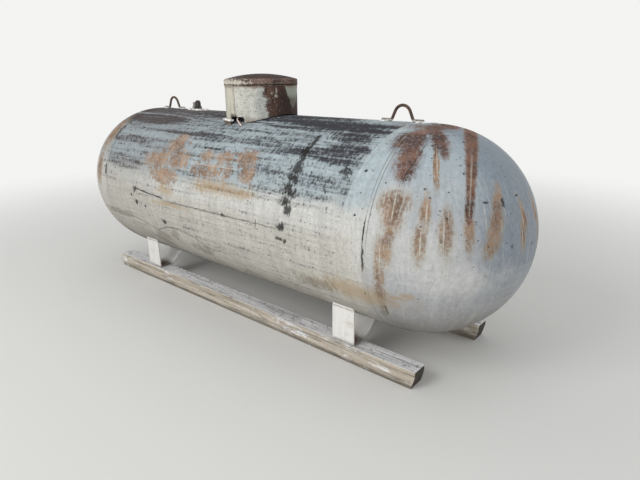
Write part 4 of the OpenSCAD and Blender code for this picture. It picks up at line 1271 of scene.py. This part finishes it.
def laid_on_shell(path, lift):
    """The path with each point moved to the shell's surface, a little above it."""
    for point in path:
        point.z = on_shell(point.y) + lift
    return path


def middle(node):
    """The middle of a node's top."""
    low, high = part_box(node)
    return Vector(((low.x + high.x) / 2, (low.y + high.y) / 2, high.z))

# %% [markdown]
# ### Welds
#
# Every steel piece on the vessel is welded to it, so a bead runs where each one meets the shell. A bump
# map could draw a bead, but it wouldn't break the outline where light grazes the corner. The beads take
# the paint of what they join. A folded leg has one bead outside and one inside its plates.

# %% Leg welds
WELD_STEP = 0.0035                                  # half the length of a ripple
RIPPLE = 0.10                                       # how much fatter a ripple's crest is
OUTER_BEAD_R = 0.0042
INNER_BEAD_R = 0.0040


def leg_welds():
    shape = bmesh.new()
    for leg in LEGS:
        low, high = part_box(leg)
        side = 1 if low.y > 0 else -1
        outer, inner = max(abs(low.y), abs(high.y)), min(abs(low.y), abs(high.y))
        for y, bead_r in ((outer + 0.001, OUTER_BEAD_R), (inner - 0.001, INNER_BEAD_R)):
            z = under_shell(y) - 0.0005
            ends = [Vector((x, side * y, z)) for x in (low.x + 0.003, high.x - 0.003)]
            bead(shape, spaced(*ends, WELD_STEP), bead_r, ripple=RIPPLE)
    finish_piece("leg_welds", shape, "tank", "leg_paint")


leg_welds()

# %% [markdown]
# The lugs carry the whole tank when it is lifted, so each foot has a heavy, rough bead: up one side,
# round the end and back along the other side. The ridge pad has one thin bead all the way round.

# %% Lug and pad welds
LUG_BEAD_R = 0.0052
LUG_RIPPLE = 0.16
LUG_WELD_L = 0.038                                  # along each side of a foot
LUG_WELD_OFF = 0.0065                               # from the foot's middle line
LUG_END_STEPS = 8                                   # round the end of a foot
PAD_BEAD_R = 0.0038


def lug_path(end, way):
    """Up one side of a foot, round its end and back along the other side."""
    off, start = LUG_WELD_OFF, end + way * LUG_WELD_L
    path = spaced(Vector((start, -off, 0)), Vector((end, -off, 0)), WELD_STEP)
    for i in range(1, LUG_END_STEPS):
        turn = math.pi * i / LUG_END_STEPS
        path.append(Vector((end - way * 0.7 * off * math.sin(turn), -off * math.cos(turn), 0)))
    return path + spaced(Vector((end, off, 0)), Vector((start, off, 0)), WELD_STEP)


def lug_welds():
    shape = bmesh.new()
    for lug in ("lug_left", "lug_right"):
        low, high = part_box(lug)
        for end, way in ((low.x, 1), (high.x, -1)):
            path = laid_on_shell(lug_path(end, way), 0.0012)
            bead(shape, path, LUG_BEAD_R, ripple=LUG_RIPPLE)
    finish_piece("lug_welds", shape, "tank", "leg_paint", "weathered_white")


def half_circle(centre_x, radius, start):
    """Points over half a turn, from the start in degrees, without the last."""
    steps = round(math.pi * radius / WELD_STEP)
    turns = [math.radians(start + 180 * i / steps) for i in range(steps)]
    return [Vector((centre_x + radius * math.cos(turn), radius * math.sin(turn), 0)) for turn in turns]


def pad_weld():
    shape = bmesh.new()
    low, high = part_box("ridge_pad")
    radius = (high.y - low.y) / 2 + 0.001
    left, right = low.x + radius, high.x - radius
    path = spaced(Vector((left, -radius, 0)), Vector((right, -radius, 0)), WELD_STEP)[:-1]
    path += half_circle(right, radius, -90)
    path += spaced(Vector((right, radius, 0)), Vector((left, radius, 0)), WELD_STEP)[:-1]
    path += half_circle(left, radius, 90)
    bead(shape, laid_on_shell(path, 0.0005), PAD_BEAD_R, ripple=RIPPLE, closed=True)
    finish_piece("pad_weld", shape, "tank", "leg_paint", "weathered_white")


lug_welds()
pad_weld()

# %% [markdown]
# Under the hood each valve is screwed into a coupling that is welded to the ridge, and a bead goes round
# each coupling. The two hinge ears have a bead along both of their faces.

# %% Coupling and ear welds
COUPLING_WALL = 0.0075
HEX_OUT = 0.005                                     # how far the corners of a valve's hexagon stand out
DIAL_OUT = 0.003                                    # how far the gauge's dial stands out past its head
COUPLING_BEAD_R = 0.0042
EAR_BEAD_R = 0.0032
EAR_T = 0.008


def coupling_welds():
    shape = bmesh.new()
    dial_low, dial_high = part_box("gauge_dial")
    for node in ("fill_valve", "relief_valve", "vapour_valve", "service_valve", "level_gauge"):
        low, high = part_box(node)
        radius = (high.x - low.x) / 2 - HEX_OUT + COUPLING_WALL
        if node == "level_gauge":
            radius = (dial_high.x - dial_low.x) / 2 + COUPLING_WALL - DIAL_OUT
        centre = middle("service_wheel") if node == "service_valve" else middle(node)
        path = circle_path(centre, radius + 0.001, WELD_STEP, lambda y: on_shell(y) + 0.0008)
        bead(shape, path, COUPLING_BEAD_R, ripple=RIPPLE, closed=True)
    finish_piece("coupling_welds", shape, "tank", "vessel_paint")


def ear_welds():
    shape = bmesh.new()
    low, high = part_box("hinge_ears")
    for x in (low.x - 0.001, low.x + EAR_T + 0.001, high.x - EAR_T - 0.001, high.x + 0.001):
        path = spaced(Vector((x, low.y + 0.002, 0)), Vector((x, high.y - 0.002, 0)), WELD_STEP)
        bead(shape, laid_on_shell(path, 0.0005), EAR_BEAD_R, ripple=RIPPLE)
    finish_piece("ear_welds", shape, "tank", "rusty_steel")


coupling_welds()
ear_welds()

# %% [markdown]
# ### Screws and rivets
#
# Each leg's foot is held to its timber by two lag screws with washers, and four rivets hold the hinge's
# strap to the hood. A screw head is a cone shape with six sides, slightly narrower at its top, and a
# rivet is a flattened sphere that is sunk halfway in the sheet. Every screw is turned its own way.

# %% Lag screws
WASHER_R = 0.0140
WASHER_T = 0.0025
SCREW_R = 0.0108
SCREW_HEAD = 0.0075
LEG_T = 0.006
SCREW_OFF = 0.036                                   # from the leg's middle, along the timber
SCREW_IN = 0.043                                    # from the leg's outer side


def disc(shape, centre, radius, height, segments=24, top=0.97):
    """A short cone whose top is a little narrower than its foot."""
    made = bmesh.ops.create_cone(shape, cap_ends=True, segments=segments, radius1=radius,
                                 radius2=radius * top, depth=height,
                                 matrix=Matrix.Translation(centre + Vector((0, 0, height / 2))))
    return made["verts"]


def lag_screws():
    shape = bmesh.new()
    for leg in LEGS:
        low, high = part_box(leg)
        side = 1 if low.y > 0 else -1
        y = side * (max(abs(low.y), abs(high.y)) - SCREW_IN)
        for x in ((low.x + high.x) / 2 - SCREW_OFF, (low.x + high.x) / 2 + SCREW_OFF):
            foot = Vector((x, y, SKID_TOP + LEG_T))
            disc(shape, foot, WASHER_R, WASHER_T, 32, 0.95)
            head = disc(shape, foot + Vector((0, 0, WASHER_T)), SCREW_R, SCREW_HEAD, 6, 0.94)
            turn = Matrix.Rotation(x * 9.0 + y, 3, "Z")
            bmesh.ops.rotate(shape, cent=foot, matrix=turn, verts=head)
    finish_piece("lag_screws", shape, "tank", "rusty_steel")


lag_screws()

# %% Strap rivets
RIVET_R = 0.0055
RIVET_FLAT = 0.62
RIVET_OFF = 0.018                                   # from the strap's middle line
RIVET_DROPS = (0.016, 0.050)                        # below the strap's top
STRAP_T = 0.005


def strap_rivets():
    shape = bmesh.new()
    strap_r = HOOD_R + STRAP_T
    low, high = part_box("hinge_leaf")
    for off in (-RIVET_OFF, RIVET_OFF):
        for drop in RIVET_DROPS:
            turn = math.asin(off / strap_r)
            at = Vector((HOOD_X + off, strap_r * math.cos(turn), high.z - drop))
            made = bmesh.ops.create_uvsphere(shape, u_segments=20, v_segments=10, radius=RIVET_R)
            bmesh.ops.scale(shape, vec=(1, RIVET_FLAT, 1), verts=made["verts"])
            bmesh.ops.translate(shape, vec=at, verts=made["verts"])
    finish_piece("strap_rivets", shape, "hood", "rusty_steel")


strap_rivets()

# %% [markdown]
# ### Threads, grips and the gauge
#
# The filling and vapour valves show a few turns of thread below their caps, and the screwed caps have
# ribs to grip. Threads are drawn as closed rings, since the eye can't tell them from a spiral at this
# size. A spiral would need its ends tapered for nothing.

# %% Threads and grips
THREAD_TURNS = 5
THREAD_PITCH = 0.0030
THREAD_R = 0.0011
RIB_R = 0.0012


def threads():
    shape = bmesh.new()
    for cap, body_r in (("fill_cap", 0.021), ("vapour_cap", 0.017)):
        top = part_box(cap)[0].z
        centre = middle(cap)
        for i in range(THREAD_TURNS):
            z = top - 0.0022 - THREAD_PITCH * i
            path = circle_path(centre, body_r, 0.004, lambda y: z)
            bead(shape, path, THREAD_R, sides=6, closed=True)
    finish_piece("threads", shape, "tank", "valve_brass")


def cap_ribs():
    shape = bmesh.new()
    for cap, count in (("fill_cap", 30), ("vapour_cap", 24), ("ridge_cap", 20)):
        low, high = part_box(cap)
        radius = (high.x - low.x) / 2
        centre = middle(cap)
        for i in range(count):
            turn = 2 * math.pi * i / count
            x, y = centre.x + radius * math.cos(turn), centre.y + radius * math.sin(turn)
            disc(shape, Vector((x, y, low.z + 0.001)), RIB_R, high.z - low.z - 0.0055, 8, 0.8)
    finish_piece("cap_ribs", shape, "tank", "dark_steel")


threads()
cap_ribs()

# %% [markdown]
# The level gauge gets its four flange screws, a ring of ticks and a needle. The ticks have no numbers,
# because no lettering belongs on this part. Each tick is a small box that is moved out from the middle,
# turned round it and then carried to the dial.

# %% Screws and marks of the gauge
GAUGE_FLANGE = 0.009
SCREW_CIRCLE_R = 0.029
GAUGE_SCREW_R = 0.0046
GAUGE_SCREW_HEAD = 0.0050
TICK_SIZE = (0.0042, 0.0010, 0.0004)
TICK_CIRCLE_R = 0.0175
TICK_COUNT = 11
FIRST_TICK = -60                                    # degrees round the dial
TICK_TURN = 30
NEEDLE_L = 0.021
NEEDLE_FOOT_R = 0.0034
NEEDLE_TIP_R = 0.0010
NEEDLE_TURN = 150


def gauge_screws():
    shape = bmesh.new()
    centre = middle("gauge_dial")
    flange_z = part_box("level_gauge")[0].z + GAUGE_FLANGE
    for i in range(4):
        turn = math.radians(45 + 90 * i)
        x, y = centre.x + SCREW_CIRCLE_R * math.cos(turn), centre.y + SCREW_CIRCLE_R * math.sin(turn)
        disc(shape, Vector((x, y, flange_z)), GAUGE_SCREW_R, GAUGE_SCREW_HEAD, 6, 0.93)
    finish_piece("gauge_screws", shape, "tank", "dark_steel")


def turn_and_place(shape, verts, degrees, centre):
    turn = Matrix.Rotation(math.radians(degrees), 3, "Z")
    bmesh.ops.rotate(shape, cent=(0, 0, 0), matrix=turn, verts=verts)
    bmesh.ops.translate(shape, vec=centre, verts=verts)


def gauge_marks():
    shape = bmesh.new()
    centre = middle("gauge_dial")
    for i in range(TICK_COUNT):
        tick = bmesh.ops.create_cube(shape, size=1.0)["verts"]
        bmesh.ops.scale(shape, vec=TICK_SIZE, verts=tick)
        bmesh.ops.translate(shape, vec=(TICK_CIRCLE_R, 0, 0.0001), verts=tick)
        turn_and_place(shape, tick, FIRST_TICK + TICK_TURN * i, centre)
    needle = bmesh.ops.create_cone(shape, cap_ends=True, segments=3, radius1=NEEDLE_FOOT_R,
                                   radius2=NEEDLE_TIP_R, depth=NEEDLE_L)["verts"]
    lying = Matrix.Rotation(math.radians(90), 3, "Y")
    bmesh.ops.rotate(shape, cent=(0, 0, 0), matrix=lying, verts=needle)
    bmesh.ops.scale(shape, vec=(1, 0.6, 0.22), verts=needle)
    bmesh.ops.translate(shape, vec=(0.006, 0, 0.0006), verts=needle)
    turn_and_place(shape, needle, NEEDLE_TURN, centre)
    finish_piece("gauge_marks", shape, "tank", "dark_steel")


gauge_screws()
gauge_marks()

# %% [markdown]
# ## Floor, background and light
#
# The floor is a wide pale disc that keeps the tank's shadow. Far out it fades into the background's
# white wherever it is seen or mirrored, so no horizon shows from any side. To rays of soft light it stays
# a plain floor, so the fading adds nothing to the light on the tank's dull surfaces.

# %% Floor
BACKGROUND = paint(0.955, 0.955, 0.950)
FLOOR_COLOUR = paint(0.86, 0.86, 0.85)
FLOOR_R = 60.0
FADE_START = 1.9                                    # metres from the tank's middle
FADE_END = 5.5


def seen_directly(graph):
    """1 for rays from the camera, from a mirror or through glass, which should meet the background."""
    rays = graph.node("LightPath").outputs
    return graph.most(rays["Is Camera Ray"], rays["Is Glossy Ray"], rays["Is Transmission Ray"])


def make_floor():
    mesh = bpy.data.meshes.new("floor")
    shape = bmesh.new()
    bmesh.ops.create_circle(shape, cap_ends=True, segments=96, radius=FLOOR_R)
    shape.to_mesh(mesh)
    shape.free()
    floor = bpy.data.objects.new("floor", mesh)
    bpy.context.collection.objects.link(floor)
    material, graph, shader = new_material("floor")
    shader["Base Color"].default_value = FLOOR_COLOUR
    shader["Roughness"].default_value = 0.9
    shader["Specular IOR Level"].default_value = 0.1
    distance = graph.node("VectorMath", {0: graph.place()}, operation="LENGTH").outputs["Value"]
    far = graph.times(graph.ramp(distance, FADE_START, FADE_END), seen_directly(graph))
    glow = graph.node("Emission", {"Color": BACKGROUND})
    output = next(n for n in material.node_tree.nodes if n.type == "OUTPUT_MATERIAL")
    principled = next(n for n in material.node_tree.nodes if n.type == "BSDF_PRINCIPLED")
    both = graph.node("MixShader", {0: far, 1: principled.outputs[0], 2: glow.outputs[0]})
    graph.feed(output.inputs["Surface"], both.outputs[0])
    mesh.materials.append(material)


make_floor()
print(f"floor {2 * FLOOR_R:.0f} m across")

# %% [markdown]
# An even world lights the tank from all round, and three large soft lamps give it form: a key lamp at
# the front, a weak one behind and a low one that lifts the right head. They stay weak enough that a
# colour shows about as it is written. The camera sees the background's colour instead of the world's.

# %% World and lamps
WORLD_STRENGTH = 0.66


def make_world(strength):
    world = bpy.data.worlds.new("studio")
    bpy.context.scene.world = world
    world.use_nodes = True
    world.node_tree.nodes.clear()
    graph = Graph(world.node_tree)
    light = graph.node("Background", {"Color": (1.0, 1.0, 1.0, 1.0), "Strength": strength})
    shown = graph.node("Background", {"Color": BACKGROUND, "Strength": 1.0})
    both = graph.node("MixShader", {0: seen_directly(graph), 1: light.outputs[0], 2: shown.outputs[0]})
    output = graph.node("OutputWorld")
    graph.feed(output.inputs["Surface"], both.outputs[0])


def soft_lamp(name, at, size, watts):
    """A square lamp that faces the middle of the vessel."""
    data = bpy.data.lights.new(name, "AREA")
    data.size = size
    data.energy = watts
    lamp = bpy.data.objects.new(name, data)
    lamp.location = at
    lamp.rotation_mode = "QUATERNION"
    lamp.rotation_quaternion = (Vector((0, 0, AXIS_Z)) - Vector(at)).to_track_quat("-Z", "Y")
    bpy.context.collection.objects.link(lamp)
    print(f"lamp {name}: {watts:.0f} W")


make_world(WORLD_STRENGTH)
soft_lamp("key", (-0.9, -5.4, 4.3), 3.0, 165.0)
soft_lamp("fill", (5.5, 2.5, 4.5), 4.0, 32.0)
soft_lamp("low", (3.9, -4.6, 0.5), 2.4, 58.0)
bpy.context.scene.view_settings.view_transform = "Standard"
